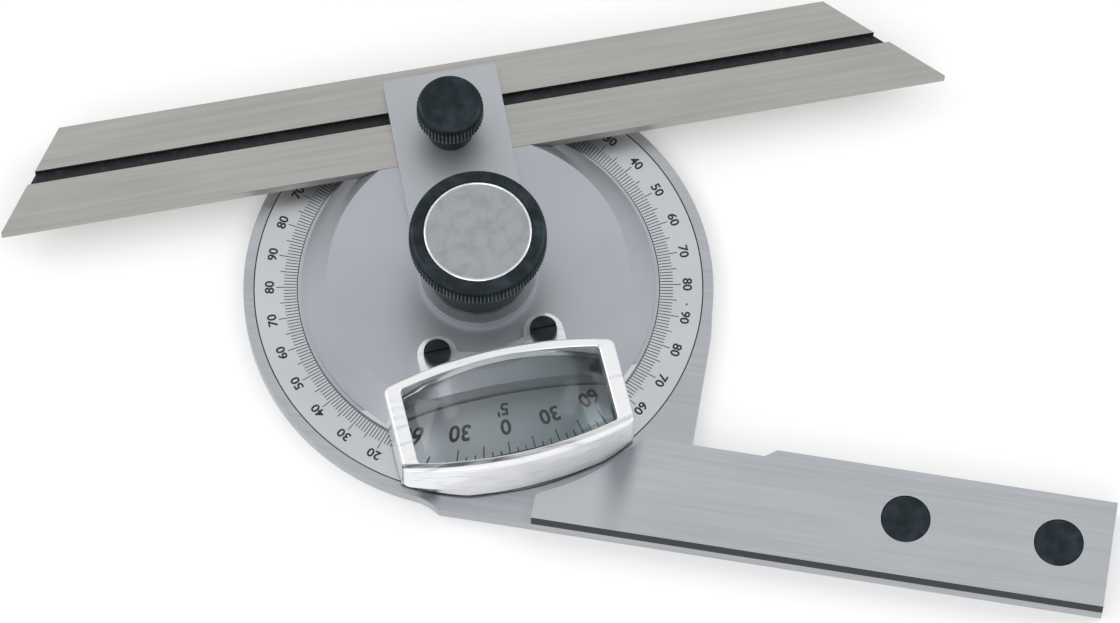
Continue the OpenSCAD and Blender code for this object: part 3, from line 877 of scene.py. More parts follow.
class Form:
    """A mesh under way, in millimetres, shaped with bmesh operators."""

    def __init__(self) -> None:
        """Start with an empty mesh."""
        self.mesh = bmesh.new()

    @classmethod
    def of_node(cls, node: str) -> Form:
        """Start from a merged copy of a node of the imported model.

        Args:
            node: The node's name.

        Returns:
            The form, with flat faces joined.
        """
        made = cls()
        made.mesh.from_mesh(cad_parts[node].data)
        made.grow(1 / MM)
        made.weld()
        limit = math.radians(FLAT_ANGLE)
        bmesh.ops.dissolve_limit(made.mesh, angle_limit=limit, verts=made.mesh.verts, edges=made.mesh.edges)
        return made

    def grow(self, factor: float) -> None:
        """Scale the whole form about the origin."""
        bmesh.ops.scale(self.mesh, vec=(factor,) * 3, verts=self.mesh.verts)

    def weld(self) -> None:
        """Merge the corners that lie on each other."""
        bmesh.ops.remove_doubles(self.mesh, verts=self.mesh.verts, dist=WELD_GAP)

    def lathe(self, profile: Sequence[Point], steps: int, closed: bool = False) -> None:
        """Spin a profile of radius and height about Z.

        Args:
            profile: The points of the profile.
            steps: The number of steps in the full turn.
            closed: Whether the last point joins the first, as round a bore.
        """
        verts = [self.mesh.verts.new((radius, 0.0, height)) for radius, height in profile]
        pairs = list(zip(verts, verts[1:]))
        if closed:
            pairs.append((verts[-1], verts[0]))
        edges = [self.mesh.edges.new(pair) for pair in pairs]
        bmesh.ops.spin(
            self.mesh,
            geom=verts + edges,
            cent=(0, 0, 0),
            axis=(0, 0, 1),
            angle=math.tau,
            steps=steps,
            use_merge=True,
        )
        self.weld()
        bmesh.ops.recalc_face_normals(self.mesh, faces=self.mesh.faces)

    def slab(self, outline: Iterable[Point], low: float, high: float) -> None:
        """Extrude a flat outline from one height to another."""
        face = self.mesh.faces.new([self.mesh.verts.new((x, y, low)) for x, y in outline])
        self.sweep(face, (0, 0, high - low))

    def sweep(self, face: bmesh.types.BMFace, way: Triple) -> None:
        """Extrude a face.

        Args:
            face: The face.
            way: The straight way along which it goes.
        """
        made = bmesh.ops.extrude_face_region(self.mesh, geom=[face])
        moved = [item for item in made["geom"] if isinstance(item, bmesh.types.BMVert)]
        bmesh.ops.translate(self.mesh, vec=way, verts=moved)
        bmesh.ops.recalc_face_normals(self.mesh, faces=self.mesh.faces)

    def bar(self, size: Triple, place: Matrix) -> None:
        """Add a small bar.

        Args:
            size: Its length, width and height.
            place: The matrix that puts its middle in place.
        """
        bmesh.ops.create_cube(self.mesh, size=1.0, matrix=place @ Matrix.Diagonal((*size, 1.0)))

    def soften(
        self,
        width: float,
        segments: int = 2,
        least: float = 50.0,
        where: Callable[[Vector], bool] = anywhere,
    ) -> None:
        """Round the sharp edges.

        Args:
            width: The width of the rounding.
            segments: The number of its facets.
            least: The least angle between two faces that counts as sharp.
            where: A test of an edge's middle that picks the edges.
        """
        limit = math.radians(least)
        sharp = [
            edge
            for edge in self.mesh.edges
            if edge.is_manifold
            and edge.calc_face_angle(0.0) > limit
            and where((edge.verts[0].co + edge.verts[1].co) / 2)
        ]
        bmesh.ops.bevel(
            self.mesh,
            geom=sharp,
            offset=width,
            offset_type="OFFSET",
            segments=segments,
            profile=0.5,
            affect="EDGES",
            material=-1,
            clamp_overlap=True,
        )

    def move(self, matrix: Matrix) -> None:
        """Turn and move the whole form."""
        bmesh.ops.transform(self.mesh, matrix=matrix, verts=self.mesh.verts)

    def paint(self, number: int, test: Callable[[bmesh.types.BMFace], bool]) -> None:
        """Give some faces another of the piece's materials.

        Args:
            number: The material's number.
            test: A test that picks the faces.
        """
        self.mesh.normal_update()
        for face in self.mesh.faces:
            if test(face):
                face.material_index = number

    def absorb(self, other: Form) -> None:
        """Take another form in.

        Args:
            other: The form, which is then used up.
        """
        data = bpy.data.meshes.new("absorbed")
        other.mesh.to_mesh(data)
        other.mesh.free()
        self.mesh.from_mesh(data)
        bpy.data.meshes.remove(data)

    def numeral(
        self,
        text: str,
        height: float,
        place: Matrix,
        wide: float = 1.1,
        bold: float = 0.025,
        proud: float = 0.012,
        steps: int = 3,
    ) -> None:
        """Add the figures of a number as thin solids.

        Args:
            text: The figures.
            height: Their height.
            place: The matrix that puts their middle in place.
            wide: Their width against the usual one.
            bold: How much their outlines are widened, in the font's own unit.
            proud: How far they stand out of the surface and reach into it.
            steps: The number of steps in each stretch of a curve.
        """
        curve = bpy.data.curves.new("figures", "FONT")
        curve.body = text
        curve.offset = bold
        curve.extrude = proud / height
        curve.resolution_u = steps
        holder = bpy.data.objects.new("figures", curve)
        flat = bpy.data.meshes.new_from_object(holder)
        low = Vector(min(v.co[i] for v in flat.vertices) for i in range(3))
        high = Vector(max(v.co[i] for v in flat.vertices) for i in range(3))
        scale = height / (high.y - low.y)
        shrink = Matrix.Diagonal((scale * wide, scale, height, 1.0))
        flat.transform(place @ shrink @ Matrix.Translation(-(low + high) / 2))
        self.mesh.from_mesh(flat)
        bpy.data.objects.remove(holder)
        bpy.data.curves.remove(curve)
        bpy.data.meshes.remove(flat)

    def shading(self, smooth: float, middles: Sequence[Point]) -> list[Vector]:
        """Work out the normal with which each corner of each face is shaded.

        A corner takes the normal of the largest face around it that meets its own face at
        a small angle, so flat faces stay flat beside their rounded edges. Where that face
        runs round one of the middles, the level part of the normal is turned into the line
        from that middle to the corner.

        Args:
            smooth: The angle between two faces from which their edge is sharp.
            middles: The upright axes of the turned surfaces.

        Returns:
            The normals, in the order of faces and corners.
        """
        self.mesh.normal_update()
        limit = math.radians(smooth)
        areas = {face: face.calc_area() for face in self.mesh.faces}
        axes = {face: turned_about(face, middles) for face in self.mesh.faces}
        found = []
        for face in self.mesh.faces:
            for vert in face.verts:
                near = [f for f in vert.link_faces if f.normal.angle(face.normal, math.pi) < limit]
                best = max(near, key=areas.get, default=face)
                normal = best.normal.copy()
                if axes[best] is not None:
                    away = vert.co.xy - Vector(axes[best])
                    away *= math.copysign(normal.xy.length / away.length, away.dot(normal.xy))
                    normal.xy = away
                found.append(normal)
        return found

    def piece(
        self,
        name: str,
        body: Body,
        slot: Slot,
        materials: Sequence[bpy.types.Material],
        replaces: Sequence[str] = (),
        smooth: float = 40.0,
        middles: Sequence[Point] | None = ((0.0, 0.0),),
    ) -> bpy.types.Object:
        """Turn the form into a piece of the scene.

        Args:
            name: The piece's name.
            body: The body that it rides on.
            slot: The slot for its finish; not used.
            materials: Its materials, in the order of the faces' numbers.
            replaces: The nodes that it stands for.
            smooth: The angle between two faces from which their edge is sharp.
            middles: The upright axes of its turned surfaces, or None for plain smooth shading.

        Returns:
            The object, in metres.
        """
        normals = None if middles is None else self.shading(smooth, middles)
        self.grow(MM)
        data = bpy.data.meshes.new(name)
        self.mesh.to_mesh(data)
        self.mesh.free()
        data.shade_smooth()
        data.set_sharp_from_angle(angle=math.radians(smooth))
        if normals:
            data.normals_split_custom_set(normals)
        for material in materials:
            data.materials.append(material)
        made = bpy.data.objects.new(name, data)
        bpy.context.scene.collection.objects.link(made)
        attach(made, body.value)
        if replaces:
            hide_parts(*replaces)
        LOG.info("%s: %d faces on %s", name, len(data.polygons), body.value)
        return made

    def figures(self, name: str, body: Body, filling: bpy.types.Material, smooth: float = 20.0) -> None:
        """Turn the form, which holds numbers, into a piece of the scene.

        Args:
            name: The piece's name.
            body: The body that it rides on.
            filling: The material of the numbers.
            smooth: The angle between two faces from which their edge is sharp.
        """
        self.weld()
        self.piece(name, body, Slot.DIAL, [filling], smooth=smooth, middles=None)


@dataclass
class Stack:
    """What the sub-assemblies share: the arm's angle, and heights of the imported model.

    Attributes:
        arm_angle: The arm's direction at rest.
        dial_top: The top of the dial.
        vernier_top: The top of the vernier plate.
    """

    arm_angle: float = 110.0
    dial_top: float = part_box("dial_ring")[1].z / MM
    vernier_top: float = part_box("vernier_plate")[1].z / MM

    def at_arm(self) -> Matrix:
        """Return the arm's own frame, whose X runs out along the arm."""
        return around(self.arm_angle)

    def at_vernier(self, offset: float = 0.0) -> Matrix:
        """Return the frame opposite to the arm, turned on by an offset."""
        return around(self.arm_angle + 180 + offset)


@dataclass
class StockBody:
    """The round dial body with its stock, the raised rail and the dark studs.

    Attributes:
        finishes: The tool's materials.
        edge: The rounding of the ground edges.
        stud_r: The radius of a stud's head.
        stud_t: The thickness of its head.
        stud_round: The rounding of its rim.
        pip_r: The radius of the mark in its middle.
        pip_d: The depth of that mark.
        steps: The number of steps round a stud.
        facing: How squarely a face of the rail has to face the front to take the painted shade.
    """

    finishes: Finishes
    edge: float = 0.12
    stud_r: float = 3.79
    stud_t: float = 1.6
    stud_round: float = 0.12
    pip_r: float = 0.5
    pip_d: float = 0.25
    steps: int = 72
    facing: float = 0.8

    def build(self) -> None:
        """Build the pieces that stay with the stock."""
        plate = Form.of_node("body_plate")
        plate.soften(self.edge)
        plate.piece("dial_body", Body.STOCK, Slot.GROUND, [self.finishes.plate], ["body_plate"])
        rail = Form.of_node("stock_rail")
        rail.soften(self.edge)
        # painted shade: the faces of the rail that face the front take the dark steel
        rail.paint(1, lambda face: face.normal.y < -self.facing)
        materials = [self.finishes.rail, self.finishes.rail_front]
        rail.piece("rail_on_stock", Body.STOCK, Slot.GROUND, materials, ["stock_rail"])
        self.studs()

    def studs(self) -> None:
        """Turn the two studs, each with a small mark in its middle."""
        low, high = (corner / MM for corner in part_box("stock_studs"))
        half = (high.y - low.y) / 2
        middles = [(low.x + half, low.y + half), (high.x - half, low.y + half)]
        form = Form()
        for middle in middles:
            stud = Form()
            stud.lathe(
                [
                    (0, high.z - self.stud_t),
                    (self.stud_r, high.z - self.stud_t),
                    (self.stud_r, high.z - self.stud_round),
                    (self.stud_r - self.stud_round, high.z),
                    (self.pip_r, high.z),
                    (self.pip_r / 3, high.z - self.pip_d),
                    (0, high.z - self.pip_d),
                ],
                self.steps,
            )
            stud.move(shift(*middle))
            form.absorb(stud)
        finish = self.finishes.turned_black("stud_oxide", middles)
        form.piece("dark_studs", Body.STOCK, Slot.BLACK, [finish], ["stock_studs"], middles=middles)


@dataclass
class DialFace:
    """The divisions and numbers of the dial.

    Attributes:
        finishes: The tool's materials.
        stack: The shared heights.
        line_in: The radius at which every line starts.
        line_ends: The radii at which lines for one, five and ten degrees end.
        line_w: The width of a line.
        line_t: The thickness of its filling, half of which stands out.
        number_r: The radius of the numbers' middle.
        number_h: The height of the figures.
        dot_w: The width of the dot beside the right-hand 90.
        dot_turn: The angle from that number to its dot.
        rings: The mean radius and the width of each dark line round the dial; the inner one is painted
            shadow.
        ring_d: How deep these lines reach.
        ring_steps: The number of steps round them.
    """

    finishes: Finishes
    stack: Stack
    line_in: float = 28.3
    line_ends: tuple[float, float, float] = (30.3, 30.95, 31.5)
    line_w: float = 0.13
    line_t: float = 0.02
    number_r: float = 32.53
    number_h: float = 1.5
    dot_w: float = 0.28
    dot_turn: float = 4.0
    rings: tuple[tuple[float, float], ...] = ((28.19, 0.14), (34.95, 0.15))
    ring_d: float = 0.1
    ring_steps: int = 256

    def build(self) -> None:
        """Build lines, numbers and the dark lines round the dial."""
        self.lines()
        self.numbers()
        self.ring_lines()

    def lines(self) -> None:
        """Rule a line at every degree, longer at fives and tens."""
        form = Form()
        for degree in range(360):
            rank = (degree % 5 == 0) + (degree % 10 == 0)
            length = self.line_ends[rank] - self.line_in
            place = around(degree) @ shift(self.line_in + length / 2, 0, self.stack.dial_top)
            form.bar((length, self.line_w, self.line_t), place)
        form.piece("dial_lines", Body.STOCK, Slot.DIAL, [self.finishes.filling])

    def numbers(self) -> None:
        """Write 0 to 90 four times, with 90 on the line of the stock."""
        form = Form()
        for angle in range(0, 360, 10):
            value = 90 - min(angle % 180, 180 - angle % 180)
            place = around(angle) @ shift(self.number_r, 0, self.stack.dial_top) @ around(-90)
            form.numeral(str(value), self.number_h, place)
        place = around(self.dot_turn) @ shift(self.number_r, 0, self.stack.dial_top)
        form.bar((self.dot_w, self.dot_w, self.line_t), place)
        form.figures("dial_numbers", Body.STOCK, self.finishes.filling)

    def ring_lines(self) -> None:
        """Lay the dark lines where the dial meets the turret, there as painted shadow, and the rim."""
        high = self.stack.dial_top + self.line_t / 2
        low = high - self.ring_d
        # the inner ring is painted shadow in the gap beside the turret's lip
        form = Form()
        for radius, width in self.rings:
            ring = Form()
            inner, outer = radius - width / 2, radius + width / 2
            section = [(inner, low), (outer, low), (outer, high), (inner, high)]
            ring.lathe(section, self.ring_steps, closed=True)
            form.absorb(ring)
        form.piece("dial_ring_lines", Body.STOCK, Slot.DIAL, [self.finishes.filling])


@dataclass
class TurretTop:
    """The turret's disc and the arm over the blade.

    Attributes:
        finishes: The tool's materials.
        edge: The rounding of the disc's edges.
        arm_edge: The rounding of the arm's edges.
    """

    finishes: Finishes
    edge: float = 0.14
    arm_edge: float = 0.24

    def build(self) -> None:
        """Build the pieces that turn with the turret."""
        disc = Form.of_node("turret_disc")
        disc.soften(self.edge)
        disc.piece("turret_top", Body.TURRET, Slot.SATIN, [self.finishes.turret], ["turret_disc"])
        arm = Form.of_node("blade_arm")
        arm.soften(self.arm_edge)
        arm.piece("arm_plate", Body.TURRET, Slot.SATIN, [self.finishes.arm], ["blade_arm"])


@dataclass
class VernierFace:
    """The divisions and numbers of the vernier.

    Attributes:
        finishes: The tool's materials.
        stack: The shared heights.
        line_out: The radius at which lines end, near the plate's edge.
        slope_in: The radius at which the plate's edge starts to slope.
        slope_drop: How far it drops.
        slope_w: The width of the slope.
        long_in: The radius at which the lines of the numbers start.
        short_in: The radius at which the other lines start.
        line_w: The width of a line.
        line_t: The thickness of its filling.
        spread: The angle from zero to the last line.
        parts: The number of divisions on each side.
        every: How many divisions lie between two long lines.
        number_r: The radius of the numbers' middle.
        number_h: The height of the figures.
        minute_r: The radius of the label that gives the value of one part.
        minute_h: The height of that label.
        gap_at: The distance from the swivel axis of the joint between plate and turret.
        gap_w: The width of the painted shadow line along that joint.
        gap_len: Its length.
    """

    finishes: Finishes
    stack: Stack
    line_out: float = 28.0
    slope_in: float = 26.75
    slope_drop: float = 0.3
    slope_w: float = 1.3
    long_in: float = 25.8
    short_in: float = 26.5
    line_w: float = 0.13
    line_t: float = 0.02
    spread: float = 23.0
    parts: int = 12
    every: int = 3
    number_r: float = 24.35
    number_h: float = 1.6
    minute_r: float = 22.5
    minute_h: float = 1.4
    gap_at: float = 20.84
    gap_w: float = 0.16
    gap_len: float = 36.0

    def build(self) -> None:
        """Build the lines and numbers, and the painted shadow line along the joint."""
        self.lines()
        self.numbers()
        # painted shadow: a strip of black filling at the foot of the turret's wall along the joint
        form = Form()
        form.bar((self.gap_w, self.gap_len, self.line_t), self.facing(0.0, self.gap_at))
        form.piece("vernier_joint_shadow", Body.TURRET, Slot.DIAL, [self.finishes.filling])

    def facing(self, offset: float, radius: float) -> Matrix:
        """Return the place on the plate's top at an angle from zero and a radius."""
        return self.stack.at_vernier(offset) @ shift(radius, 0, self.stack.vernier_top)

    def lines(self) -> None:
        """Rule the lines, which run down over the plate's sloping edge."""
        form = Form()
        slope = math.atan2(self.slope_drop, self.slope_w)
        tilt = Matrix.Rotation(slope, 4, "Y")
        for part in range(-self.parts, self.parts + 1):
            inner = self.long_in if part % self.every == 0 else self.short_in
            offset = self.spread * part / self.parts
            flat = self.slope_in - inner
            if flat > 0:
                form.bar((flat, self.line_w, self.line_t), self.facing(offset, inner + flat / 2))
            start = max(inner, self.slope_in)
            run = self.line_out - start
            drop = (start - self.slope_in + run / 2) * math.tan(slope)
            place = self.facing(offset, start + run / 2) @ shift(z=-drop) @ tilt
            form.bar((run / math.cos(slope), self.line_w, self.line_t), place)
        form.piece("vernier_lines", Body.TURRET, Slot.DIAL, [self.finishes.filling])

    def numbers(self) -> None:
        """Write 60 30 0 30 60, and 5' for the value of one part."""
        form = Form()
        for share, text in ((-1.0, "60"), (-0.5, "30"), (0.0, "0"), (0.5, "30"), (1.0, "60")):
            place = self.facing(share * self.spread, self.number_r) @ around(-90)
            form.numeral(text, self.number_h, place)
        form.numeral("5'", self.minute_h, self.facing(0.0, self.minute_r) @ around(-90))
        form.figures("vernier_numbers", Body.TURRET, self.finishes.filling)


@dataclass
class SlidingBlade:
    """The blade with its black groove and slanting ends.

    Attributes:
        finishes: The tool's materials.
        stack: The arm's direction.
        inner: The distance of the inner edge from the swivel axis.
        width: The blade's width.
        length: The length of its long edge.
        offset: How far its middle lies from the arm.
        low: The height of its underside.
        high: The height of its top.
        groove_at: The distance of the groove's middle from the axis.
        groove_w: The groove's width.
        groove_d: Its depth.
        left_slant: The angle of the left end.
        right_slant: The angle of the right end.
        edge: The rounding of the edges.
        margin: How far a face may lie outside the groove's bounds and still be in it.
        end_lean: The part of a normal along the blade from which a face belongs to an end.
    """

    finishes: Finishes
    stack: Stack
    inner: float = 20.2
    width: float = 16.3
    length: float = 150.0
    offset: float = 3.3
    low: float = 5.2
    high: float = 7.2
    groove_at: float = 28.65
    groove_w: float = 2.0
    groove_d: float = 1.2
    left_slant: float = 54.5
    right_slant: float = 45.0
    edge: float = 0.1
    margin: float = 0.01
    end_lean: float = 0.5

    def section(self) -> list[Point]:
        """Work out the blade's cross-section.

        Returns:
            Its corners, as distances from the swivel axis and heights.
        """
        near, far = self.inner, self.inner + self.width
        left, right = self.groove_at - self.groove_w / 2, self.groove_at + self.groove_w / 2
        floor = self.high - self.groove_d
        return [
            (near, self.low),
            (far, self.low),
            (far, self.high),
            (right, self.high),
            (right, floor),
            (left, floor),
            (left, self.high),
            (near, self.high),
        ]

    def in_groove(self, face: bmesh.types.BMFace) -> bool:
        """Tell whether a face lies in the groove.

        Args:
            face: The face, before the blade is turned into place.

        Returns:
            True for the groove's floor and walls.
        """
        middle = face.calc_center_median()
        across = abs(middle.x - self.groove_at) < self.groove_w / 2 + self.margin
        deep = self.high - self.groove_d - self.margin < middle.z < self.high - self.edge
        return across and deep and abs(face.normal.y) < self.end_lean

    def build(self) -> None:
        """Extrude the section between the slanting ends and blacken the groove."""
        form = Form()
        start, end = -self.length / 2 - self.offset, self.length / 2 - self.offset
        face = form.mesh.faces.new([form.mesh.verts.new((x, start, z)) for x, z in self.section()])
        form.sweep(face, (0, self.length, 0))
        for vert in form.mesh.verts:
            inward = vert.co.x - self.inner
            if vert.co.y > (start + end) / 2:
                vert.co.y -= inward / math.tan(math.radians(self.left_slant))
            else:
                vert.co.y += inward / math.tan(math.radians(self.right_slant))
        form.soften(self.edge)
        form.paint(1, self.in_groove)
        form.move(self.stack.at_arm())
        materials = [self.finishes.blade, self.finishes.filling]
        form.piece("grooved_blade", Body.BLADE, Slot.BLADE, materials, ["blade"])


@dataclass
class KnurledKnob:
    """A turned knob: a cone up to a knurled band, a throat and a bevelled crown.

    Attributes:
        name: The piece's name.
        node: The node that it stands for.
        body: The body that it rides on.
        finish: Its material.
        middle: Its place on the tool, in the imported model's frame.
        low: The height of its foot.
        high: The height of its top.
        foot_r: The radius of the foot.
        neck_r: The radius of the cone's upper end.
        knurl_r: The radius over the knurls.
        crown_r: The radius of the crown's side.
        top_r: The radius of its flat top.
        band_low: The height at which the knurls start.
        band_high: The height at which they end.
        dish_r: The radius of the recess in the top.
        dish_wall: The depth of its wall.
        dish_d: Its depth in the middle.
        bore_r: The radius of the bore from below.
        bore_top: The height at which the bore ends.
        teeth: The number of knurls.
        knurl_d: Their depth.
        narrowness: How narrow the grooves between them are, where 1 gives straight flanks.
        throat_h: The height over which they run out below; above, they take four times that.
        rounding: The rounding of the other edges.
    """

    name: str
    node: str
    body: Body
    finish: bpy.types.Material
    middle: Point
    low: float
    high: float
    foot_r: float
    neck_r: float
    knurl_r: float
    crown_r: float
    top_r: float
    band_low: float
    band_high: float
    dish_r: float
    dish_wall: float
    dish_d: float
    bore_r: float
    bore_top: float
    teeth: int
    knurl_d: float = 0.22
    narrowness: float = 1.3
    throat_h: float = 0.2
    rounding: float = 0.18

    def profile(self) -> list[Point]:
        """Work out the profile of the knob.

        Returns:
            Its points, from the bore's end round the outside to the recess.
        """
        root = self.knurl_r - self.knurl_d
        small = self.rounding / 4
        return [
            (0, self.bore_top),
            (self.bore_r, self.bore_top),
            (self.bore_r, self.low),
            (self.foot_r - self.rounding, self.low),
            (self.foot_r, self.low + self.rounding),
            (self.neck_r - small, self.band_low - self.rounding),
            (self.neck_r, self.band_low),
            (root, self.band_low + small),
            (self.knurl_r, self.band_low + self.throat_h),
            (self.knurl_r, self.band_high - 4 * self.throat_h),
            (self.knurl_r - self.knurl_d / 2, self.band_high - self.throat_h),
            (root, self.band_high),
            (self.crown_r, self.band_high + small),
            (self.crown_r, self.high - 2 * self.rounding),
            (self.crown_r - self.rounding / 2, self.high - self.rounding),
            (self.top_r - self.rounding, self.high - small),
            (self.top_r - 2 * self.rounding, self.high),
            (self.dish_r + self.rounding / 2, self.high),
            (self.dish_r, self.high - self.dish_wall),
            (0, self.high - self.dish_d),
        ]

    def build(self) -> None:
        """Turn the profile, press the knurls in and set the knob in place."""
        steps_per_knurl = 4
        band_r = self.knurl_r - self.knurl_d * 0.75  # beyond it, a corner is on the knurled band
        form = Form()
        form.lathe(self.profile(), steps_per_knurl * self.teeth)
        for vert in form.mesh.verts:
            radius = vert.co.xy.length
            phase = math.atan2(vert.co.y, vert.co.x) * self.teeth / math.tau
            if radius > band_r:
                sunk = radius - self.knurl_d * (1 - abs(2 * (phase % 1.0) - 1)) ** self.narrowness
                vert.co.xy *= sunk / radius
        form.move(shift(*self.middle))
        form.piece(self.name, self.body, Slot.BLACK, [self.finish], [self.node], 35.0, [self.middle])


@dataclass
class KnobCap:
    """The bright disc in the clamp knob's top, with its polished rim.

    Attributes:
        finishes: The tool's materials.
        radius: The disc's radius.
        rim_in: The radius at which the polished rim starts.
        groove_w: The width of the fine groove inside the rim.
        sink: How far the scratched middle lies below the rim.
        rounding: The rounding of the rim.
        steps: The number of steps round the disc.
    """

    finishes: Finishes
    radius: float = 8.29
    rim_in: float = 8.0
    groove_w: float = 0.06
    sink: float = 0.05
    rounding: float = 0.1
    steps: int = 160

    def build(self) -> None:
        """Turn the disc and polish its rim."""
        low, high = (corner.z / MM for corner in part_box("knob_cap"))
        inner = self.rim_in - self.groove_w
        form = Form()
        form.lathe(
            [
                (0, low),
                (self.radius, low),
                (self.radius, high - self.rounding),
                (self.radius - self.rounding, high - self.rounding / 5),
                (self.rim_in + self.rounding, high),
                (self.rim_in, high - self.rounding),
                (inner, high - self.rounding),
                (inner - self.sink, high - self.sink),
                (0, high - self.sink),
            ],
            self.steps,
        )
        form.paint(1, lambda face: face.calc_center_median().xy.length < inner and face.normal.z > 0)
        materials = [self.finishes.chrome, self.finishes.inlay]
        form.piece("inlay_disc", Body.CLAMP, Slot.INLAY, materials, ["knob_cap"])


@dataclass
class Magnifier:
    """The bright frame on its two screws, and the lens.

    Attributes:
        finishes: The tool's materials.
        stack: The direction of the vernier.
        twist: The turn of the magnifier on its screws.
        twist_at: The distance from the axis about which it turns.
        window_at: The distance from the axis to the lens's middle.
        half: Half the lens's length.
        end_half: Half its width at the ends.
        bulge: How far its long sides bulge.
        corner: The radius of its corners.
        seat: The height of its flat underside.
        apex: The height of its domed top.
        curve: The radius of the dome.
        facet: The size of the dome's facets.
        screw_edge: The rounding of the screws' edges.
        rim_round: The rounding of the frame's rim.
        rim_low: The height above which edges belong to the rim.
        sharp: The least angle between two faces whose edge is rounded.
        side_steps: The number of steps in half a long side.
        corner_steps: The number of steps in a corner.
        blank: The thickness of the flat blank from which the dome is raised.
    """

    finishes: Finishes
    stack: Stack
    twist: float = 3.0
    twist_at: float = 20.0
    window_at: float = 24.8
    half: float = 15.59
    end_half: float = 6.19
    bulge: float = 1.8
    corner: float = 0.7
    seat: float = 8.4
    apex: float = 13.8
    curve: float = 36.0
    facet: float = 0.8
    screw_edge: float = 0.12
    rim_round: float = 0.5
    rim_low: float = 10.4
    sharp: float = 60.0
    side_steps: int = 10
    corner_steps: int = 6
    blank: float = 1.0

    def build(self) -> None:
        """Build frame, screws and lens."""
        rim = Form.of_node("lens_frame")
        rim.soften(self.rim_round, 3, self.sharp, lambda middle: middle.z > self.rim_low)
        rim.soften(self.rim_round / 3, 2, self.sharp, lambda middle: middle.z < self.rim_low)
        rim.piece("magnifier_frame", Body.TURRET, Slot.CHROME, [self.finishes.chrome], ["lens_frame"])
        screws = Form.of_node("lens_screws")
        screws.soften(self.screw_edge)
        screws.piece("magnifier_screws", Body.TURRET, Slot.BLACK, [self.finishes.black], ["lens_screws"])
        self.lens()

    def quarter(self) -> list[Point]:
        """Work out a quarter of the lens's outline.

        Returns:
            The points of half a bulging side and of a rounded corner.
        """
        turn = math.atan(2 * self.bulge / self.half)
        pitch = (self.half - self.corner * (1 - math.sin(turn))) / self.side_steps
        side = [
            (self.end_half + self.bulge * (1 - (pitch * k / self.half) ** 2), pitch * k)
            for k in range(self.side_steps)
        ]
        inward = self.corner * (1 / math.cos(turn) - math.tan(turn))
        middle = (self.end_half - inward, self.half - self.corner)
        start = math.degrees(turn)
        pitch = (90 - start) / self.corner_steps
        return side + [polar(self.corner, start + pitch * k, middle) for k in range(self.corner_steps + 1)]

    def lens(self) -> None:
        """Cut the lens from its outline and raise its dome."""
        quarter = self.quarter()
        outline = quarter + [(-x, y) for x, y in quarter[:0:-1]]
        outline += [(-x, -y) for x, y in quarter] + [(x, -y) for x, y in quarter[:0:-1]]
        form = Form()
        form.slab(outline, self.seat, self.seat + self.blank)
        for normal, reach in (((1, 0, 0), self.end_half + self.bulge), ((0, 1, 0), self.half)):
            count = round(reach / self.facet)
            for k in range(-count, count + 1):
                geometry = [*form.mesh.verts, *form.mesh.edges, *form.mesh.faces]
                middle = Vector(normal) * (k * self.facet)
                bmesh.ops.bisect_plane(
                    form.mesh, geom=geometry, dist=WELD_GAP, plane_co=middle, plane_no=normal
                )
        for vert in form.mesh.verts:
            if vert.co.z > self.seat + self.blank / 2:
                fall = self.curve - math.sqrt(self.curve**2 - vert.co.x**2 - vert.co.y**2)
                vert.co.z = self.apex - fall
        place = self.stack.at_vernier() @ shift(self.twist_at) @ around(self.twist)
        form.move(place @ shift(self.window_at - self.twist_at))
        form.piece("magnifier_lens", Body.TURRET, Slot.GLASS, [self.finishes.glass], ["lens"], middles=None)


@dataclass
class Fittings:
    """The screws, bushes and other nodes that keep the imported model's shape.

    Attributes:
        finishes: The tool's materials.
        bolt_edge: The rounding of the bolt's edges.
    """

    finishes: Finishes
    bolt_edge: float = 0.1

    def build(self) -> None:
        """Soften the bolt's edges and dress the nodes that nothing replaces."""
        bolt = Form.of_node("clamp_bolt")
        bolt.soften(self.bolt_edge)
        bolt.piece("flush_bolt", Body.TURRET, Slot.DARK, [self.finishes.dark], ["clamp_bolt"])
        dressed = {
            "dial_ring": self.finishes.dial,
            "vernier_plate": self.finishes.dial,
            "thread_boss": self.finishes.black,
            "guide_key": self.finishes.arm,
            "rail_screws": self.finishes.dark,
            "dial_screws": self.finishes.dark,
            "vernier_screws": self.finishes.dark,
            "arm_screws": self.finishes.dark,
            "thrust_washer": self.finishes.dark,
            "blade_screw": self.finishes.dark,
            "hub_bush": self.finishes.bronze,
            "knob_insert": self.finishes.bronze,
            "pressure_pad": self.finishes.bronze,
        }
        for name, material in dressed.items():
            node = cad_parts[name]
            for slot in node.material_slots:
                slot.material = material
            LOG.info("%s: dressed with %s", name, material.name)


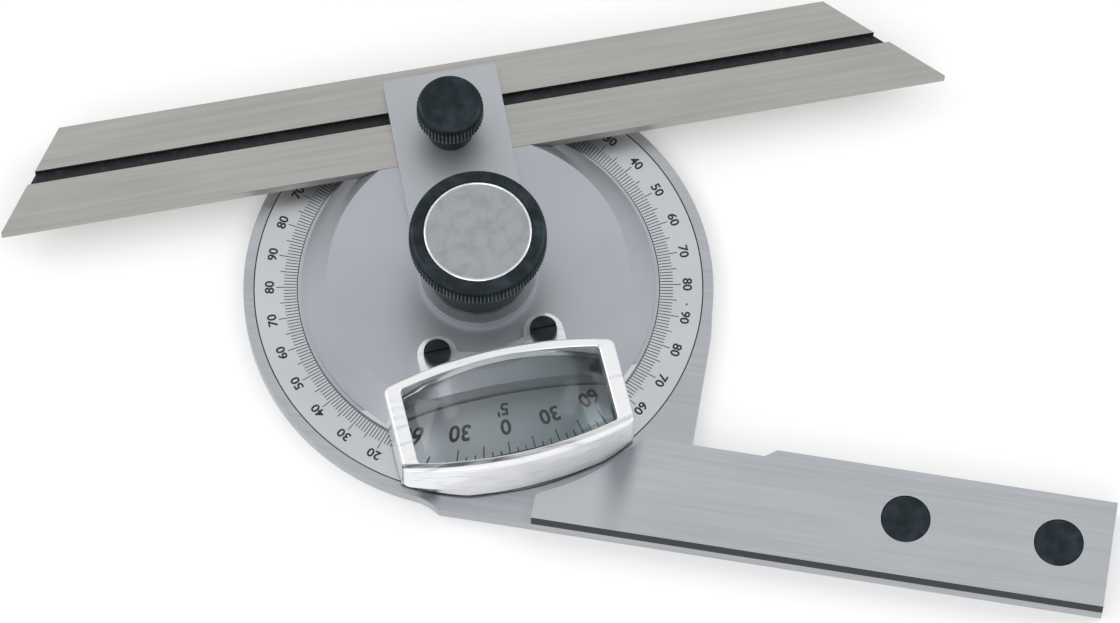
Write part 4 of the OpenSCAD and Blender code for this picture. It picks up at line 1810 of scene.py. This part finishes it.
@dataclass
class Studio:
    """The camera, the lamps, the floor and the surroundings.

    Attributes:
        camera_at: The camera's place.
        aim: The point on the floor that it looks at.
        roll: Its turn about its own axis.
        lens: Its focal length.
        sensor: The width of its sensor.
        far: The distance up to which it sees.
        lamps: Each lamp's name, place, width, height and radiance.
        floor_half: Half the floor's side.
        floor_gap: How far the floor lies below the tool's back.
        sky: The brightness of the surroundings overhead, and of the floor in reflections.
        horizon: Their brightness near the horizon.
        rise: The sines of the heights between which the one turns into the other.
    """

    camera_at: Triple = (71.0097, -387.1487, 886.4190)
    aim: Triple = (13.0639, -1.1533, 0.0)
    roll: float = 0.9218
    lens: float = 199.8
    sensor: float = 36.0
    far: float = 20000.0
    lamps: tuple[tuple[str, Triple, float, float, float], ...] = (
        ("lamp_left", (-700.0, 100.0, 550.0), 400.0, 400.0, 2.0),
        ("lamp_right", (700.0, 350.0, 600.0), 500.0, 400.0, 1.6),
        ("lamp_front", (-100.0, -900.0, 600.0), 900.0, 500.0, 1.2),
    )
    floor_half: float = 3000.0
    floor_gap: float = 0.02
    sky: float = 0.86
    horizon: float = 0.8
    rise: Pair = (0.05, 0.75)

    def build(self) -> None:
        """Build the whole studio."""
        self.camera()
        for name, place, width, height, radiance in self.lamps:
            self.lamp(name, Vector(place), width, height, radiance)
        self.floor()
        self.surroundings()

    def camera(self) -> None:
        """Set the camera as the photograph was taken."""
        data = bpy.data.cameras.new("view_camera")
        data.lens = self.lens
        data.sensor_width = self.sensor
        data.clip_end = self.far * MM
        made = bpy.data.objects.new("view_camera", data)
        place = Vector(self.camera_at) * MM
        turn = (Vector(self.aim) * MM - place).to_track_quat("-Z", "Y").to_matrix().to_4x4()
        roll = Matrix.Rotation(math.radians(self.roll), 4, "Z")
        made.matrix_world = Matrix.Translation(place) @ turn @ roll
        bpy.context.scene.collection.objects.link(made)
        bpy.context.scene.camera = made

    def lamp(self, name: str, place: Vector, width: float, height: float, radiance: float) -> None:
        """Hang a soft lamp that faces the tool.

        Args:
            name: The lamp's name.
            place: Its place.
            width: Its width.
            height: Its height.
            radiance: Its brightness, where 1 is the brightness of white.
        """
        data = bpy.data.lights.new(name, "AREA")
        data.shape = "RECTANGLE"
        data.size = width * MM
        data.size_y = height * MM
        data.energy = math.pi * data.size * data.size_y * radiance
        made = bpy.data.objects.new(name, data)
        turn = (-place).to_track_quat("-Z", "Y").to_matrix().to_4x4()
        made.matrix_world = Matrix.Translation(place * MM) @ turn
        bpy.context.scene.collection.objects.link(made)

    def floor(self) -> None:
        """Lay the pale floor, which takes the tool's shadows."""
        form = Form()
        bmesh.ops.create_grid(form.mesh, x_segments=2, y_segments=2, size=self.floor_half * MM)
        form.move(shift(z=-self.floor_gap * MM))
        data = bpy.data.meshes.new("studio_floor")
        form.mesh.to_mesh(data)
        form.mesh.free()
        data.materials.append(PalePaper("floor_white", self.sky).material())
        made = bpy.data.objects.new("studio_floor", data)
        bpy.context.scene.collection.objects.link(made)

    def surroundings(self) -> None:
        """Surround the tool with a pale room, darker near the horizon and white to the camera."""
        shader = Shader(bpy.data.worlds.new("pale_room"))
        way = shader.node("ShaderNodeTexCoord", output="Generated")
        rise = shader.node("ShaderNodeSeparateXYZ", None, {0: way}, "Z").step(*self.rise)
        level = rise * (self.sky - self.horizon) + self.horizon
        seen = shader.node("ShaderNodeLightPath", output="Is Camera Ray")
        room = shader.node("ShaderNodeBackground", None, {"Color": WHITE, "Strength": level.most(seen)})
        bpy.context.scene.world = shader.done(room, "ShaderNodeOutputWorld")


def main() -> None:
    """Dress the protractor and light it."""
    logging.basicConfig(level=logging.INFO, format="%(message)s")
    bpy.context.scene.view_settings.view_transform = "Standard"
    finishes = Finishes()
    stack = Stack()
    clamp_knob = KnurledKnob(
        name="knurled_clamp",
        node="clamp_knob",
        body=Body.CLAMP,
        finish=finishes.turned_black("clamp_knob_oxide", [(0.0, 0.0)], 10.6),
        middle=(0.0, 0.0),
        low=9.55,
        high=22.9,
        foot_r=7.8,
        neck_r=9.9,
        knurl_r=10.6,
        crown_r=10.33,
        top_r=10.1,
        band_low=19.3,
        band_high=22.3,
        dish_r=8.31,
        dish_wall=0.8,
        dish_d=0.8,
        bore_r=6.06,
        bore_top=20.25,
        teeth=111,
    )
    knob_middle = polar(24.3, stack.arm_angle)
    blade_knob = KnurledKnob(
        name="knurled_blade_knob",
        node="blade_knob",
        body=Body.BLADE_CLAMP,
        finish=finishes.turned_black("blade_knob_oxide", [knob_middle], 5.2),
        middle=knob_middle,
        low=11.5,
        high=18.2,
        foot_r=3.9,
        neck_r=4.6,
        knurl_r=5.2,
        crown_r=4.93,
        top_r=4.7,
        band_low=14.2,
        band_high=17.7,
        dish_r=3.8,
        dish_wall=0.01,
        dish_d=0.25,
        bore_r=2.01,
        bore_top=16.5,
        teeth=54,
    )
    for assembly in (
        StockBody(finishes),
        DialFace(finishes, stack),
        TurretTop(finishes),
        VernierFace(finishes, stack),
        SlidingBlade(finishes, stack),
        clamp_knob,
        KnobCap(finishes),
        blade_knob,
        Magnifier(finishes, stack),
        Fittings(finishes),
        Studio(),
    ):
        assembly.build()


if __name__ == "__main__":
    main()
